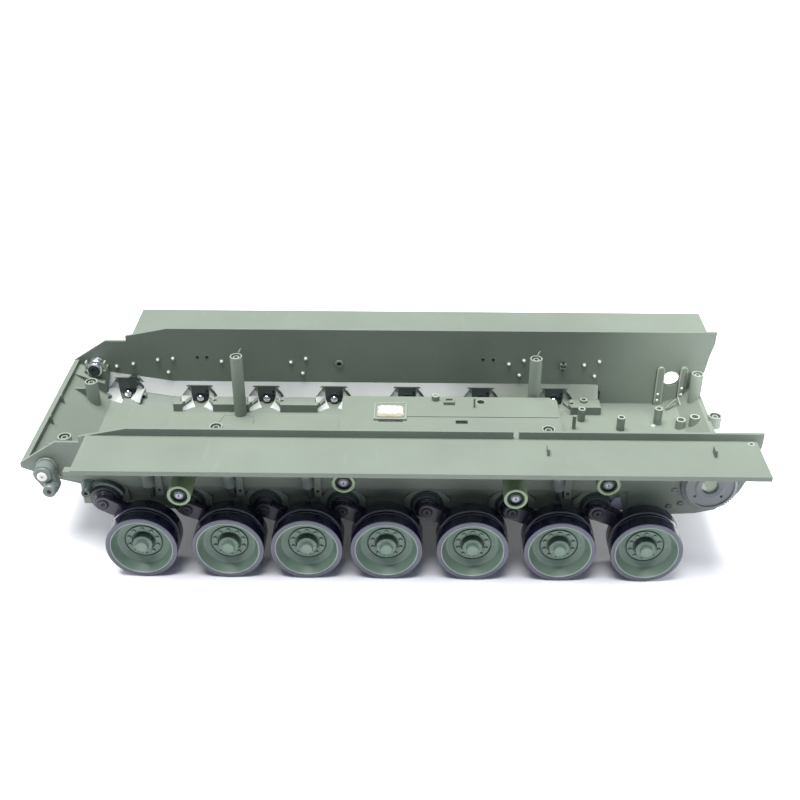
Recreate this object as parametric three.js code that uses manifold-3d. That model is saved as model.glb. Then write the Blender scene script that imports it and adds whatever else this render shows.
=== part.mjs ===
// Lower hull and running gear of a 1/16 scale radio-controlled tank.
// Millimetres. -X is the nose, +X the stern, +Y the right side, +Z up, ground at z = 0.
// The origin is on the ground under the middle of the hull's length and width.
import * as THREE from 'three';
import { mergeVertices } from 'three/addons/utils/BufferGeometryUtils.js';
import Module from 'manifold-3d';

const wasm = await Module();
wasm.setup();

// ---- driving dimensions -------------------------------------------------
const CLEARANCE = 0.3; // gap between pieces that touch on the real model
const ROUND = 16; // sides of a small round feature
const FINE = 10; // sides of a pin or screw hole

const HALF_LENGTH = 227.5;
const WALL_OUT = 66; // half width of the hull over its upper side walls
const WALL = 2; // moulding thickness
const LOWER_OUT = 62.7; // half width below the undercut
const BELLY_Z = 28.7;
const FLOOR_Z = 30.5;
const LIP_Z = 88.8; // top edge of the side walls
const UNDERCUT_Z = 46.3; // where the side wall starts to slope inwards
const UNDERCUT_END_Z = 36.5;
const UNDERCUT_STERN_X = 150; // aft of this the side wall runs down to the belly
const UNDERCUT_RISE = 0.16; // rise of the undercut per millimetre towards the nose
const NOSE_RISE_X = -158; // forward of this the belly slopes up
const NOSE_FOLD = [-200, 38]; // x, z where the belly meets the nose plate
const NOSE_APEX_Z = 62.9;
const NOSE_HALF_WIDTH = 51.5; // below the side walls, ahead of the first wheel station
const NOSE_STEP_Z = 50;
const NOSE_STEP_AHEAD = 14; // from the first pivot forward to where the nose narrows
const TALL = 120; // above everything

const SLOPE_FOOT = 58.5; // half width where the sloping part of the inner wall meets the ledge
const LEDGE_IN = 47.7; // inner edge of the ledge along each side
const LEDGE_Z = 36.7;
const LEDGE_FRONT_X = -156.5; // forward of this a slope runs down to the belly instead

const FENDER_Z = 83.7;
const FENDER_OUT = 103.7;
const FENDER_FRONT_X = -183.9;
const FENDER_STERN_X = 223.4;
const FENDER_THICK = 1.6;
const FENDER_EDGE_DROP = 3;
const FIN = { x: [95.5, 194.3], thick: 1.2, inner: 77.5, outer: 83.8, rise: 4.6 };
const LIP_NOTCH_X = [76.5, 79.9]; // cut in the top edge of the left wall

const BAY_FRONT_X = -33.7; // raised roof over the battery bay
const BAY_STERN_X = 115.3;
const BAY_HALF_WIDTH = 38;
const BAY_ROOF_Z = 50.5;
const BAY_CORNER = 5;
const DOOR_FRONT_X = -26; // opening under the bay
const DOOR_STERN_X = 108;
const DOOR_HALF_WIDTH = 32;

const WHEEL_RADIUS = 22.15;
const WHEEL_IN = 77.1; // inner face of the wheels
const WHEEL_OUT = 97.7; // outer face of the tyres
const WHEEL_BORE = 2.8;
const BORE_DEPTH = 15;
const AXLE_RADIUS = 2.5;
const DRUM_RADIUS = 19.5;
const DRUM_SIDES = 12;
const TYRE_SIDES = 16;
const LEFT_WHEEL_X = [-150.25, -97.1, -48.9, 0, 52.7, 105.9, 158.75];
const RIGHT_STAGGER = -14; // the right-hand stations sit this far forward
const ARM_REACH = 28; // pivot to wheel centre, along X
const PIVOT_Z = 34;
const FRONT_PIVOT_Z = 37.5; // the first arm is hung higher on the rising belly
const RECESS_BACK = 62.2; // back wall of the recess round each swing arm's shaft
const SHAFT_RADIUS = 3;
const SHAFT_IN = 60.2; // inner end of a swing arm's shaft
const HOUSING_RADIUS = 8.6;
const HOUSING_OUT = 68.8;
const ARM_IN = 69.2;
const ARM_OUT = 74.4;
const ARM_SHAFT_END = 5.8; // radius of the arm round its pivot
const ARM_AXLE_END = 5.2;
const ARM_COLLAR = { foot: 7.2, crown: 5.8, out: 72 }; // the tapered collar at the root of the arm

const ROLLER_Z = 60;
const ROLLER_RADIUS = 7.2;
const ROLLER_BORE = 2.7;
const ROLLER_DISH = 2.2;
const ROLLER_SIDES = 12;
const STUD_RADIUS = 2.4;
const LEFT_ROLLER_X = [-124, -26.3, 77.3, 134.5];
const RIGHT_ROLLER_X = [-161.7, -66, 89.4, 143];
const ROLLER_OUT = [95, 80.5, 95, 80.5]; // alternate rollers stand further out
const ROLLER_IN = [75, 70, 75, 70];

const CRANK = {
  x: -210.8, z: 60.8, barrel: 5.65, out: 77.5,
  pegX: -207.1, pegZ: 51.7, peg: 3.9, pegOut: 81, pegHole: 1.55,
};
const IDLER_SHAFT = { radius: 5.5, stub: 3, inner: 50, outer: 63.6, stubOut: 71.7 };
const DRIVE = {
  x: 199.5, z: 51.5, bore: 5.85, disc: 15.1, rim: 17.6, opening: { left: 5.2, right: 6.6 },
};
const TUBE_PEG = { x: -186.5, z: 46.8, radius: 2.8, out: 75.5 };

const LEFT_DAMPER_X = [-149.5, -99, -50.6, 104.8];
const RIGHT_DAMPER_X = [-136.5, -88, -38, 117.8];
const DAMPER = { foot: 49.4, radius: 3.7, lean: -0.13 }; // lean: X per millimetre of height
const DAMPER_PLATE = { foot: 41, top: 80, near: 5, far: 9.6, taper: 1 }; // X from the damper's foot

const SIDES = [
  { name: 'left', sign: -1, shift: 0, rollers: LEFT_ROLLER_X, dampers: LEFT_DAMPER_X },
  { name: 'right', sign: 1, shift: RIGHT_STAGGER, rollers: RIGHT_ROLLER_X, dampers: RIGHT_DAMPER_X },
];

// Screw posts for the upper hull: x, y, foot, top, radius.
const SCREW_POSTS = [
  [-107.9, 45, 29.5, 77.8, 4.25], [100.3, 45, 29.5, 77.8, 4.25], [214, 49, 43, 64.4, 4.05],
  [-107.9, -45, 29.5, 77.8, 4.25], [100.3, -45, 29.5, 77.8, 4.25], [214, -49, 43, 64.4, 4.05],
  [-208.4, 34.8, 43, 62.5, 4.4], [-208.4, -34.8, 43, 62.5, 4.4], [221.6, 18, 41, 49.5, 4.4],
];
const SCREW_HOLE = { radius: 1.5, depth: 8, rim: 0.8, seat: 1.1 };

// Small bosses for the electronics: x, y, foot, top, radius.
const BOSSES = [
  [134.4, 40.8, 29.5, 40, 2.6], [160.3, 29, 29.5, 40.7, 2.75], [187.5, 37.2, 29.5, 43, 2.8],
  [127.9, 29.7, 29.5, 41, 1.3], [137.5, 56, 34, 38.5, 2.7], [201.4, 27.7, 31.5, 40, 3.25],
  [209.6, 23.7, 38, 45, 3.4],
];

const BOSS_HOLE = { wall: 1.1, depth: 3, fewest: 2 }; // bosses thinner than `fewest` in radius are solid

// ---- materials ----------------------------------------------------------
const plastic = (color, roughness) => new THREE.MeshStandardMaterial({ color, roughness, metalness: 0 });
const MATERIALS = {
  hull: plastic(0x9fab9b, 0.5),
  wheel: plastic(0x5f7a62, 0.42),
  rubber: plastic(0x16161c, 0.45),
  arm: plastic(0x1d1d24, 0.4),
  roller: plastic(0x6f8f68, 0.45),
  crank: plastic(0x84908a, 0.45),
  flange: plastic(0x8d9a96, 0.5),
  pad: plastic(0xf2f0e4, 0.6),
  steel: new THREE.MeshStandardMaterial({ color: 0xc9cbd0, roughness: 0.22, metalness: 1 }),
};

// ---- building blocks ----------------------------------------------------
function solid(geometry) {
  geometry.deleteAttribute('normal');
  geometry.deleteAttribute('uv');
  const merged = mergeVertices(geometry, 1e-4);
  const triVerts = new Uint32Array(merged.index.array);
  const vertProperties = new Float32Array(merged.attributes.position.array);
  return new wasm.Manifold(new wasm.Mesh({ numProp: 3, vertProperties, triVerts }));
}

function mesh(name, shape, material) {
  const data = shape.getMesh();
  const geometry = new THREE.BufferGeometry();
  geometry.setAttribute('position', new THREE.BufferAttribute(new Float32Array(data.vertProperties), 3));
  geometry.setIndex(new THREE.BufferAttribute(new Uint32Array(data.triVerts), 1));
  geometry.computeVertexNormals();
  const made = new THREE.Mesh(geometry, material);
  made.name = name;
  return made;
}

const join = (shapes) => shapes.reduce((whole, shape) => whole.add(shape));
const cut = (body, shapes) => shapes.reduce((left, shape) => left.subtract(shape), body);

// A box between two corners, given in any order.
function box(x0, x1, y0, y1, z0, z1) {
  const geometry = new THREE.BoxGeometry(Math.abs(x1 - x0), Math.abs(y1 - y0), Math.abs(z1 - z0));
  geometry.translate((x0 + x1) / 2, (y0 + y1) / 2, (z0 + z1) / 2);
  return solid(geometry);
}

// An upright post or hole.
function upright(x, y, z0, z1, radius, sides = ROUND) {
  const geometry = new THREE.CylinderGeometry(radius, radius, z1 - z0, sides);
  geometry.rotateX(Math.PI / 2);
  geometry.translate(x, y, (z0 + z1) / 2);
  return solid(geometry);
}

// A post whose foot is at x and that moves `lean` along X per millimetre of height.
function leaning(x, y, z0, z1, radius, lean, sides) {
  const geometry = new THREE.CylinderGeometry(radius, radius, z1 - z0, sides);
  geometry.rotateX(Math.PI / 2);
  geometry.translate(0, y, (z1 - z0) / 2);
  geometry.applyMatrix4(new THREE.Matrix4().makeShear(0, 0, 0, 0, lean, 0));
  geometry.translate(x, 0, z0);
  return solid(geometry);
}

// A cylinder along Y; radius1 is at y1.
function across(x, z, y0, y1, radius, radius1 = radius, sides = ROUND) {
  const geometry = new THREE.CylinderGeometry(radius1, radius, Math.abs(y1 - y0), sides);
  if (y1 < y0) geometry.rotateX(Math.PI);
  geometry.translate(x, (y0 + y1) / 2, z);
  return solid(geometry);
}

// An outline in X and Z, given thickness from y0 to y1.
function plate(points, y0, y1) {
  const shape = new THREE.Shape(points.map(([x, z]) => new THREE.Vector2(x, z)));
  const geometry = new THREE.ExtrudeGeometry(shape, { depth: Math.abs(y1 - y0), bevelEnabled: false });
  geometry.rotateX(Math.PI / 2);
  geometry.translate(0, Math.max(y0, y1), 0);
  return solid(geometry);
}

// An outline in X and Y, given height from z0 to z1.
function slab(points, z0, z1) {
  const shape = new THREE.Shape(points.map(([x, y]) => new THREE.Vector2(x, y)));
  const geometry = new THREE.ExtrudeGeometry(shape, { depth: z1 - z0, bevelEnabled: false });
  geometry.translate(0, 0, z0);
  return solid(geometry);
}

// A section in Y and Z, run from x0 to x1 and rising by `rise` on the way.
function run(points, x0, x1, rise = 0) {
  const shape = new THREE.Shape(points.map(([y, z]) => new THREE.Vector2(y, z)));
  const geometry = new THREE.ExtrudeGeometry(shape, { depth: x1 - x0, bevelEnabled: false });
  const position = geometry.attributes.position;
  for (let i = 0; i < position.count; i += 1) {
    const [y, z, along] = [position.getX(i), position.getY(i), position.getZ(i)];
    position.setXYZ(i, x0 + along, y, z + rise * (along / (x1 - x0)));
  }
  return solid(geometry);
}

// A turned piece. The profile gives radius and distance outwards from y = start.
function turned(profile, x, z, start, sign, sides) {
  const points = profile.map(([radius, out]) => new THREE.Vector2(radius, out));
  const geometry = new THREE.LatheGeometry(points, sides);
  if (sign < 0) geometry.rotateX(Math.PI);
  geometry.translate(x, sign * start, z);
  return solid(geometry);
}

// A link between two round ends, as an outline in X and Z.
function linkOutline(ax, az, ar, bx, bz, br, steps = 5) {
  const heading = Math.atan2(bz - az, bx - ax);
  const length = Math.hypot(bx - ax, bz - az);
  const lean = Math.acos((ar - br) / length);
  const points = [];
  for (let i = 0; i <= steps; i += 1) {
    const angle = heading + lean + ((2 * Math.PI - 2 * lean) * i) / steps;
    points.push([ax + ar * Math.cos(angle), az + ar * Math.sin(angle)]);
  }
  for (let i = 0; i <= steps; i += 1) {
    const angle = heading - lean + (2 * lean * i) / steps;
    points.push([bx + br * Math.cos(angle), bz + br * Math.sin(angle)]);
  }
  return points;
}

// ---- suspension stations --------------------------------------------------
const stations = SIDES.flatMap((side) => LEFT_WHEEL_X.map((leftX, index) => ({
  ...side,
  number: index + 1,
  wheelX: leftX + side.shift,
  pivotX: leftX + side.shift - (index === 0 ? ARM_REACH - 1 : ARM_REACH),
  pivotZ: index === 0 ? FRONT_PIVOT_Z : PIVOT_Z,
  mouthRise: index === 0 ? 6 : 0,
})));

// ---- hull shell -------------------------------------------------------------
function hullOutline() {
  return [
    [-HALF_LENGTH, NOSE_APEX_Z - 2.9], [-HALF_LENGTH, NOSE_APEX_Z], [-203.8, 78.5], [-188.8, 78.5],
    [-188.8, 82.5], [-158.8, LIP_Z], [HALF_LENGTH, LIP_Z], [HALF_LENGTH - 0.2, 80], [224.8, 70], [223, 58],
    [218.4, 46], [205.2, 32.5], [193, 29.5], [178, BELLY_Z], [NOSE_RISE_X, BELLY_Z], NOSE_FOLD,
  ];
}

// The hollow of the tub from the side: nose plate, belly and low stern plate are left standing.
function hollowOutline() {
  const far = HALF_LENGTH + 20;
  const top = LIP_Z + 20;
  const barX = -HALF_LENGTH + 3.6;
  const barZ = NOSE_APEX_Z + 0.3;
  return [
    [barX, 59.4], [NOSE_FOLD[0] + 0.6, NOSE_FOLD[1] + WALL], [NOSE_RISE_X + 0.4, FLOOR_Z], [190, FLOOR_Z],
    [203.8, 34.6], [215.4, 46.4], [far, 46.4], [far, top], [-far, top], [-far, barZ], [barX, barZ],
  ];
}

// Raises a section in Y and Z as it runs forward from the undercut's level part.
function towardsNose(section) {
  const start = -HALF_LENGTH - 5;
  const rise = UNDERCUT_RISE * (NOSE_RISE_X - start);
  return run(section.map(([y, z]) => [y, z + rise]), start, NOSE_RISE_X + 0.01, -rise);
}

// What is missing outside the side walls, below the undercut.
function undercut({ sign }) {
  const beyond = sign * (WALL_OUT + 5);
  const section = [
    [beyond, UNDERCUT_Z], [sign * (WALL_OUT + 0.01), UNDERCUT_Z], [sign * LOWER_OUT, UNDERCUT_END_Z],
    [sign * LOWER_OUT, 0], [beyond, 0],
  ];
  return run(section, NOSE_RISE_X, UNDERCUT_STERN_X).add(towardsNose(section));
}

// The space between the side walls.
function hollow() {
  const inUpper = WALL_OUT - WALL;
  const section = [
    [-inUpper, TALL], [-inUpper, UNDERCUT_Z], [-SLOPE_FOOT, LEDGE_Z], [-SLOPE_FOOT, 0],
    [SLOPE_FOOT, 0], [SLOPE_FOOT, LEDGE_Z], [inUpper, UNDERCUT_Z], [inUpper, TALL],
  ];
  const stern = box(UNDERCUT_STERN_X - WALL - 0.01, HALF_LENGTH + 20, -inUpper, inUpper, 0, TALL);
  const level = run(section, NOSE_RISE_X, UNDERCUT_STERN_X - WALL);
  return join([level, towardsNose(section), stern]).intersect(plate(hollowOutline(), -WALL_OUT, WALL_OUT));
}

function ledge({ sign }) {
  const outer = sign * (SLOPE_FOOT + 0.5);
  const slab = box(LEDGE_FRONT_X, UNDERCUT_STERN_X - 1, sign * LEDGE_IN, outer, 0, LEDGE_Z);
  const slope = [[outer, LEDGE_Z], [sign * LEDGE_IN, FLOOR_Z - 0.5], [outer, FLOOR_Z - 0.5]];
  const filled = join([slab, run(slope, NOSE_RISE_X, LEDGE_FRONT_X + 1), towardsNose(slope)]);
  return filled.intersect(plate(hullOutline(), -WALL_OUT, WALL_OUT));
}

function fender({ sign }) {
  const root = sign * (WALL_OUT - 0.5);
  const edge = sign * FENDER_OUT;
  const top = FENDER_Z;
  const skin = box(FENDER_FRONT_X, FENDER_STERN_X, root, edge, top - FENDER_THICK, top);
  const lip = box(FENDER_FRONT_X, FENDER_STERN_X, edge - sign * 1.5, edge, top - FENDER_EDGE_DROP, top);
  return skin.add(lip);
}

// The locating fins and the bent tip that only the left fender has.
function leftFenderFittings() {
  const { thick, inner, outer, rise } = FIN;
  const [front, edge] = [FENDER_FRONT_X, -FENDER_OUT];
  const tip = box(front - 4.5, front + 2, edge + 1, edge + 6, FENDER_Z - 4.4, FENDER_Z - 1.4);
  return [tip, ...FIN.x.map((x) => box(x, x + thick, -outer, -inner, FENDER_Z - 1, FENDER_Z + rise))];
}

// Ahead of the first wheel station the nose is narrower below the side walls: the block that closes
// it off inside, and the notch that is left outside.
function noseStep({ sign, shift }) {
  const limit = LEFT_WHEEL_X[0] + shift - ARM_REACH - NOSE_STEP_AHEAD;
  const tip = [-226, NOSE_APEX_Z - 4];
  const fill = [
    [limit + WALL, 0], [limit + WALL, NOSE_STEP_Z - 1], [NOSE_FOLD[0] - 4, NOSE_STEP_Z + WALL],
    [tip[0], tip[1] + WALL], [tip[0], 0],
  ];
  const gap = [
    [limit, 0], [limit, NOSE_STEP_Z - 3], [NOSE_FOLD[0] - 4, NOSE_STEP_Z], tip,
    [-HALF_LENGTH - 10, NOSE_APEX_Z + 1.6], [-HALF_LENGTH - 10, 0],
  ];
  const inner = sign * (NOSE_HALF_WIDTH - WALL);
  return {
    block: plate(fill, inner, sign * (WALL_OUT - 1)).intersect(plate(hullOutline(), -WALL_OUT, WALL_OUT)),
    notch: plate(gap, sign * NOSE_HALF_WIDTH, sign * (WALL_OUT + 4)),
  };
}

// ---- hull fittings ------------------------------------------------------------
// The bearing housing of a swing arm, outside the hull: an arched pad under a round boss.
function armHousing({ sign, pivotX, pivotZ, mouthRise }) {
  const top = 44 + mouthRise;
  const foot = pivotZ - 5.2;
  const arch = [
    [pivotX - 14.5, foot], [pivotX + 14.5, foot], [pivotX + 14.5, top - 6],
    [pivotX + 9, top], [pivotX - 9, top], [pivotX - 14.5, top - 6],
  ];
  return plate(arch, sign * 62, sign * 65.6).add(
    across(pivotX, pivotZ, sign * 65, sign * HOUSING_OUT, HOUSING_RADIUS, HOUSING_RADIUS, 12),
  );
}

// The recess inside the hull round the end of a swing arm's shaft: a wide mouth in the slope over a
// deeper well that flares towards the floor.
function armRecess({ sign, pivotX, pivotZ, mouthRise }) {
  const top = 43.4 + mouthRise;
  const shelf = pivotZ + 0.6;
  const mouth = [
    [pivotX - 13, shelf], [pivotX + 13, shelf], [pivotX + 13, top - 6.4], [pivotX + 7.5, top],
    [pivotX - 7.5, top], [pivotX - 13, top - 6.4],
  ];
  const half = { front: 11, back: 6.5 };
  const plan = [
    [-half.back, RECESS_BACK], [-half.back, 58], [-half.front, 49], [-half.front, 46],
    [half.front, 46], [half.front, 49], [half.back, 58], [half.back, RECESS_BACK],
  ].map(([along, out]) => [pivotX + along, sign * out]);
  const well = slab(sign > 0 ? plan.reverse() : plan, FLOOR_Z + 0.1 + mouthRise, top - 2);
  return plate(mouth, sign * 52, sign * RECESS_BACK).add(well);
}

function armBore({ sign, pivotX, pivotZ }) {
  const radius = SHAFT_RADIUS + CLEARANCE;
  return across(pivotX, pivotZ, sign * 55, sign * 72, radius, radius, FINE);
}

function rollerStuds({ sign, rollers }) {
  return rollers.flatMap((x, i) => {
    const head = sign * (ROLLER_OUT[i] - ROLLER_DISH + CLEARANCE);
    return [
      across(x, ROLLER_Z, sign * (WALL_OUT - 1), sign * (ROLLER_IN[i] - CLEARANCE), 5, 4.2, FINE),
      across(x, ROLLER_Z, sign * (WALL_OUT - 1), head + sign * 0.4, STUD_RADIUS, STUD_RADIUS, FINE),
      across(x, ROLLER_Z, head, head + sign * 1.3, 3.2, 2.8, FINE),
    ];
  });
}

// Shock absorbers and their slotted plates, moulded on the outside of the side walls.
function dampers({ sign, dampers: places }) {
  const { foot, top, near, far, taper } = DAMPER_PLATE;
  return places.flatMap((x) => {
    const bar = [[x + near, foot], [x + far, foot], [x + far - taper, top], [x + near, top]];
    const y = sign * (WALL_OUT + 2.6);
    return [
      leaning(x + 1.4, y, DAMPER.foot, FENDER_Z - 1, DAMPER.radius, DAMPER.lean, FINE),
      plate(bar, sign * (WALL_OUT - 0.8), sign * (ARM_IN - 0.6)),
    ];
  });
}

// Upright ribs with rounded tops inside the stern walls, either side of the final drive's shaft hole.
function driveRibs({ sign }) {
  const half = 2.7;
  const crown = 59.3;
  const arc = [0, 45, 90, 135, 180].map((degrees) => THREE.MathUtils.degToRad(degrees));
  return [[191.6, FLOOR_Z - 1], [208, 35]].map(([x, foot]) => {
    const top = arc.map((a) => [x + half * Math.cos(a), crown + half * Math.sin(a)]);
    const rib = [[x + half, foot], ...top, [x - half, foot]];
    return plate(rib, sign * (WALL_OUT - 4.4), sign * (WALL_OUT - 1));
  });
}

// The open-topped saddle inside the nose that holds the idler shaft.
function idlerSaddle({ sign }) {
  const groove = IDLER_SHAFT.radius + CLEARANCE;
  const half = 7.6;
  const block = box(
    CRANK.x - half, CRANK.x + half, sign * 54, sign * (WALL_OUT - 1), NOSE_STEP_Z, CRANK.z - 1,
  );
  return cut(block, [
    across(CRANK.x, CRANK.z, sign * 40, sign * (WALL_OUT - WALL), groove),
    box(CRANK.x - groove, CRANK.x + groove, sign * 40, sign * (WALL_OUT - WALL), CRANK.z, CRANK.z + 10),
  ]);
}

// Thin webs that stiffen the nose bar and the two bosses behind it.
function noseWebs() {
  const thick = 1.4;
  const barWeb = [[-226.5, 61.5], [-222.2, 65], [-221.8, 57]];
  const bossWeb = [[-220.8, 57], [-209, 57], [-209, 46]];
  return [
    ...[12.5, -13.9].map((y) => plate(barWeb, y, y + thick)),
    ...[34.1, -35.5].map((y) => plate(bossWeb, y, y + thick)),
  ];
}

function posts() {
  const places = [...SCREW_POSTS, ...BOSSES];
  return places.map(([x, y, foot, top, radius]) => upright(x, y, foot, top, radius, FINE));
}

// A stepped hole down each screw post.
function screwHoles() {
  const { radius, depth, rim, seat } = SCREW_HOLE;
  return SCREW_POSTS.flatMap(([x, y, , top, post]) => [
    upright(x, y, top - depth, top + 1, radius, 6),
    upright(x, y, top - seat, top + 1, post - rim, FINE),
  ]);
}

function bossHoles() {
  const { wall, depth, fewest } = BOSS_HOLE;
  return BOSSES.filter(([, , , , radius]) => radius > fewest)
    .map(([x, y, , top, radius]) => upright(x, y, top - depth, top + 1, radius - wall, 8));
}

// ---- battery bay ---------------------------------------------------------------
function bayOutline(inset) {
  const [front, stern, half] = [BAY_FRONT_X + inset, BAY_STERN_X - inset, BAY_HALF_WIDTH - inset];
  const corner = BAY_CORNER;
  return [
    [front, -half], [stern - corner, -half], [stern, corner - half], [stern, half - corner],
    [stern - corner, half], [front, half],
  ];
}

// The bay's roof with the small fittings that stand on it.
function batteryBay() {
  const roof = slab(bayOutline(0), FLOOR_Z - 1, BAY_ROOF_Z);
  const z = BAY_ROOF_Z - 1;
  const plinth = box(-10.8, 10.6, 6.7, 27, z, BAY_ROOF_Z + 1.2);
  const boss = upright(30.9, 34, z, BAY_ROOF_Z + 3.6, 2.6, FINE);
  const bracket = box(36.4, 44, 27, 33.4, z, BAY_ROOF_Z + 2.2);
  const pin = box(56.9, 58.1, 24, 25.4, z, BAY_ROOF_Z + 7);
  return join([roof, plinth, boss, bracket, pin]);
}

function batteryBayHollow() {
  const half = DOOR_HALF_WIDTH;
  return [
    slab(bayOutline(WALL), FLOOR_Z - 0.01, BAY_ROOF_Z - WALL),
    box(DOOR_FRONT_X, DOOR_STERN_X, -half, half, BELLY_Z - 1, FLOOR_Z + 1),
    upright(62.3, 31.3, BAY_ROOF_Z - 4, BAY_ROOF_Z + 1, 2.7, FINE),
    box(44.2, 52.3, 3.2, 7.4, BAY_ROOF_Z - 4, BAY_ROOF_Z + 1),
    box(38, 42.6, 28.4, 32, BAY_ROOF_Z + 0.8, BAY_ROOF_Z + 4),
    box(10.4, 114.5, 11.3, 12.1, BAY_ROOF_Z - 0.6, BAY_ROOF_Z + 1),
  ];
}

// ---- hull, complete ---------------------------------------------------------------
function tubePeg({ sign }) {
  const { x, z, radius, out } = TUBE_PEG;
  return across(x, z, sign * 62, sign * out, radius, radius, FINE);
}

function sideFittings(side) {
  return [
    ...rollerStuds(side), ...dampers(side), ...driveRibs(side),
    idlerSaddle(side), tubePeg(side), fender(side),
  ];
}

function sideBores({ sign }) {
  return [
    across(DRIVE.x, DRIVE.z, sign * 58, sign * 70, DRIVE.bore),
    across(CRANK.x, CRANK.z, sign * 62, sign * 70, IDLER_SHAFT.stub + CLEARANCE),
    across(TUBE_PEG.x, TUBE_PEG.z, sign * 70, sign * 78, 1.4, 1.4, 8),
  ];
}

function hullTub() {
  const shell = cut(plate(hullOutline(), -WALL_OUT, WALL_OUT), [...SIDES.map(undercut), hollow()]);
  const noseSteps = SIDES.map(noseStep);
  const whole = join([
    shell, ...SIDES.map(ledge), ...noseSteps.map(({ block }) => block), ...leftFenderFittings(),
    ...stations.map(armHousing), ...SIDES.flatMap(sideFittings), ...posts(), ...noseWebs(), batteryBay(),
  ]);
  const lipNotch = box(...LIP_NOTCH_X, -WALL_OUT - 1, -WALL_OUT + WALL + 1, FENDER_Z + 0.3, LIP_Z + 1);
  return cut(whole, [
    ...noseSteps.map(({ notch }) => notch), ...stations.map(armRecess), ...stations.map(armBore),
    ...SIDES.flatMap(sideBores), ...screwHoles(), ...bossHoles(), ...batteryBayHollow(), lipNotch,
  ]);
}

// ---- running gear -------------------------------------------------------------------
function swingArm({ sign, pivotX, pivotZ, wheelX }) {
  const outline = linkOutline(pivotX, pivotZ, ARM_SHAFT_END, wheelX, WHEEL_RADIUS, ARM_AXLE_END);
  const { foot, crown, out } = ARM_COLLAR;
  return join([
    plate(outline, sign * ARM_IN, sign * ARM_OUT),
    across(pivotX, pivotZ, sign * ARM_IN, sign * out, foot, crown, 12),
    across(pivotX, pivotZ, sign * SHAFT_IN, sign * (ARM_IN + 1), SHAFT_RADIUS, SHAFT_RADIUS, FINE),
    across(wheelX, WHEEL_RADIUS, sign * (ARM_OUT - 1), sign * (WHEEL_IN + BORE_DEPTH - 0.5), AXLE_RADIUS,
      AXLE_RADIUS, FINE),
  ]);
}

// Profiles below give radius and distance outwards from the inner face.
function wheel({ sign, wheelX }) {
  const out = WHEEL_OUT - WHEEL_IN;
  const profile = [
    [0, BORE_DEPTH], [WHEEL_BORE, BORE_DEPTH], [WHEEL_BORE, 4], [17.4, 4], [17.9, CLEARANCE],
    [DRUM_RADIUS, CLEARANCE], [DRUM_RADIUS, out - 0.4], [17.9, out - 0.4], [15, 12.8], [6.4, 12.8],
    [5, 19.4], [0, 19.4],
  ];
  return turned(profile, wheelX, WHEEL_RADIUS, WHEEL_IN, sign, DRUM_SIDES);
}

function twinTyre({ sign, wheelX }) {
  const inner = DRUM_RADIUS + CLEARANCE + 0.1; // a polygon's flats lie inside its radius
  const profile = [
    [inner, 0], [WHEEL_RADIUS, 0], [WHEEL_RADIUS, 8.7], [20.7, 9.9], [WHEEL_RADIUS, 11.1],
    [WHEEL_RADIUS, WHEEL_OUT - WHEEL_IN], [inner, WHEEL_OUT - WHEEL_IN], [inner, 0],
  ];
  return turned(profile, wheelX, WHEEL_RADIUS, WHEEL_IN, sign, TYRE_SIDES);
}

function returnRoller({ sign, rollers }, i) {
  const length = ROLLER_OUT[i] - ROLLER_IN[i];
  const profile = [
    [ROLLER_BORE, 0], [ROLLER_RADIUS, 0], [ROLLER_RADIUS, length], [5.6, length],
    [5.4, length - ROLLER_DISH], [ROLLER_BORE, length - ROLLER_DISH], [ROLLER_BORE, 0],
  ];
  return turned(profile, rollers[i], ROLLER_Z, ROLLER_IN[i], sign, ROLLER_SIDES);
}

function idlerCrank({ sign }) {
  const { x, z, barrel, out, pegX, pegZ, peg, pegOut, pegHole } = CRANK;
  const link = linkOutline(x, z, 7.4, pegX, pegZ, 5.2);
  const body = join([
    across(x, z, sign * (WALL_OUT + CLEARANCE), sign * out, barrel),
    plate(link, sign * (out - 5.5), sign * (out - 0.8)),
    across(pegX, pegZ, sign * (out - 2), sign * pegOut, peg, peg, 12),
  ]);
  return cut(body, [
    across(x, z, sign * WALL_OUT, sign * (IDLER_SHAFT.stubOut + CLEARANCE), IDLER_SHAFT.stub + CLEARANCE),
    across(pegX, pegZ, sign * (pegOut - 4), sign * (pegOut + 1), pegHole, pegHole, 6),
  ]);
}

function idlerShaft({ sign }) {
  const { radius, stub, inner, outer, stubOut } = IDLER_SHAFT;
  return join([
    across(CRANK.x, CRANK.z, sign * inner, sign * outer, radius),
    across(CRANK.x, CRANK.z, sign * (outer - 1), sign * stubOut, stub, stub, FINE),
  ]);
}

// The cover of the final drive: a stepped disc with two bolt holes and a shaft opening.
function driveFlange({ name, sign }) {
  const { x, z, disc, rim } = DRIVE;
  const opening = DRIVE.opening[name];
  const inner = sign * (WALL_OUT + CLEARANCE);
  const body = join([
    across(x, z, inner, inner + sign * 1.6, rim, rim, 24),
    across(x, z, inner + sign, inner + sign * 3.2, 16.2, disc + 0.6, 24),
  ]);
  return cut(body, [
    across(x, z, inner + sign * 2.2, inner + sign * 4, disc - 0.6, disc - 0.6, 24),
    across(x, z, sign * 60, sign * 80, opening, opening, FINE),
    ...[-8.6, 7.6].map((dx) => across(x + dx, z - 7.1, sign * 60, sign * 80, 0.9, 0.9, 6)),
  ]);
}

// The torn pad of adhesive foam on the battery bay.
function foamPad() {
  const edge = [
    [-9, 9], [-3, 8.2], [4, 9.1], [9.2, 8.6], [9.6, 16],
    [8.4, 22.6], [1, 23.4], [-6, 22.4], [-8.6, 23], [-9.8, 15],
  ];
  const base = BAY_ROOF_Z + 1.2 + CLEARANCE;
  return slab(edge, base, base + 0.9);
}

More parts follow.
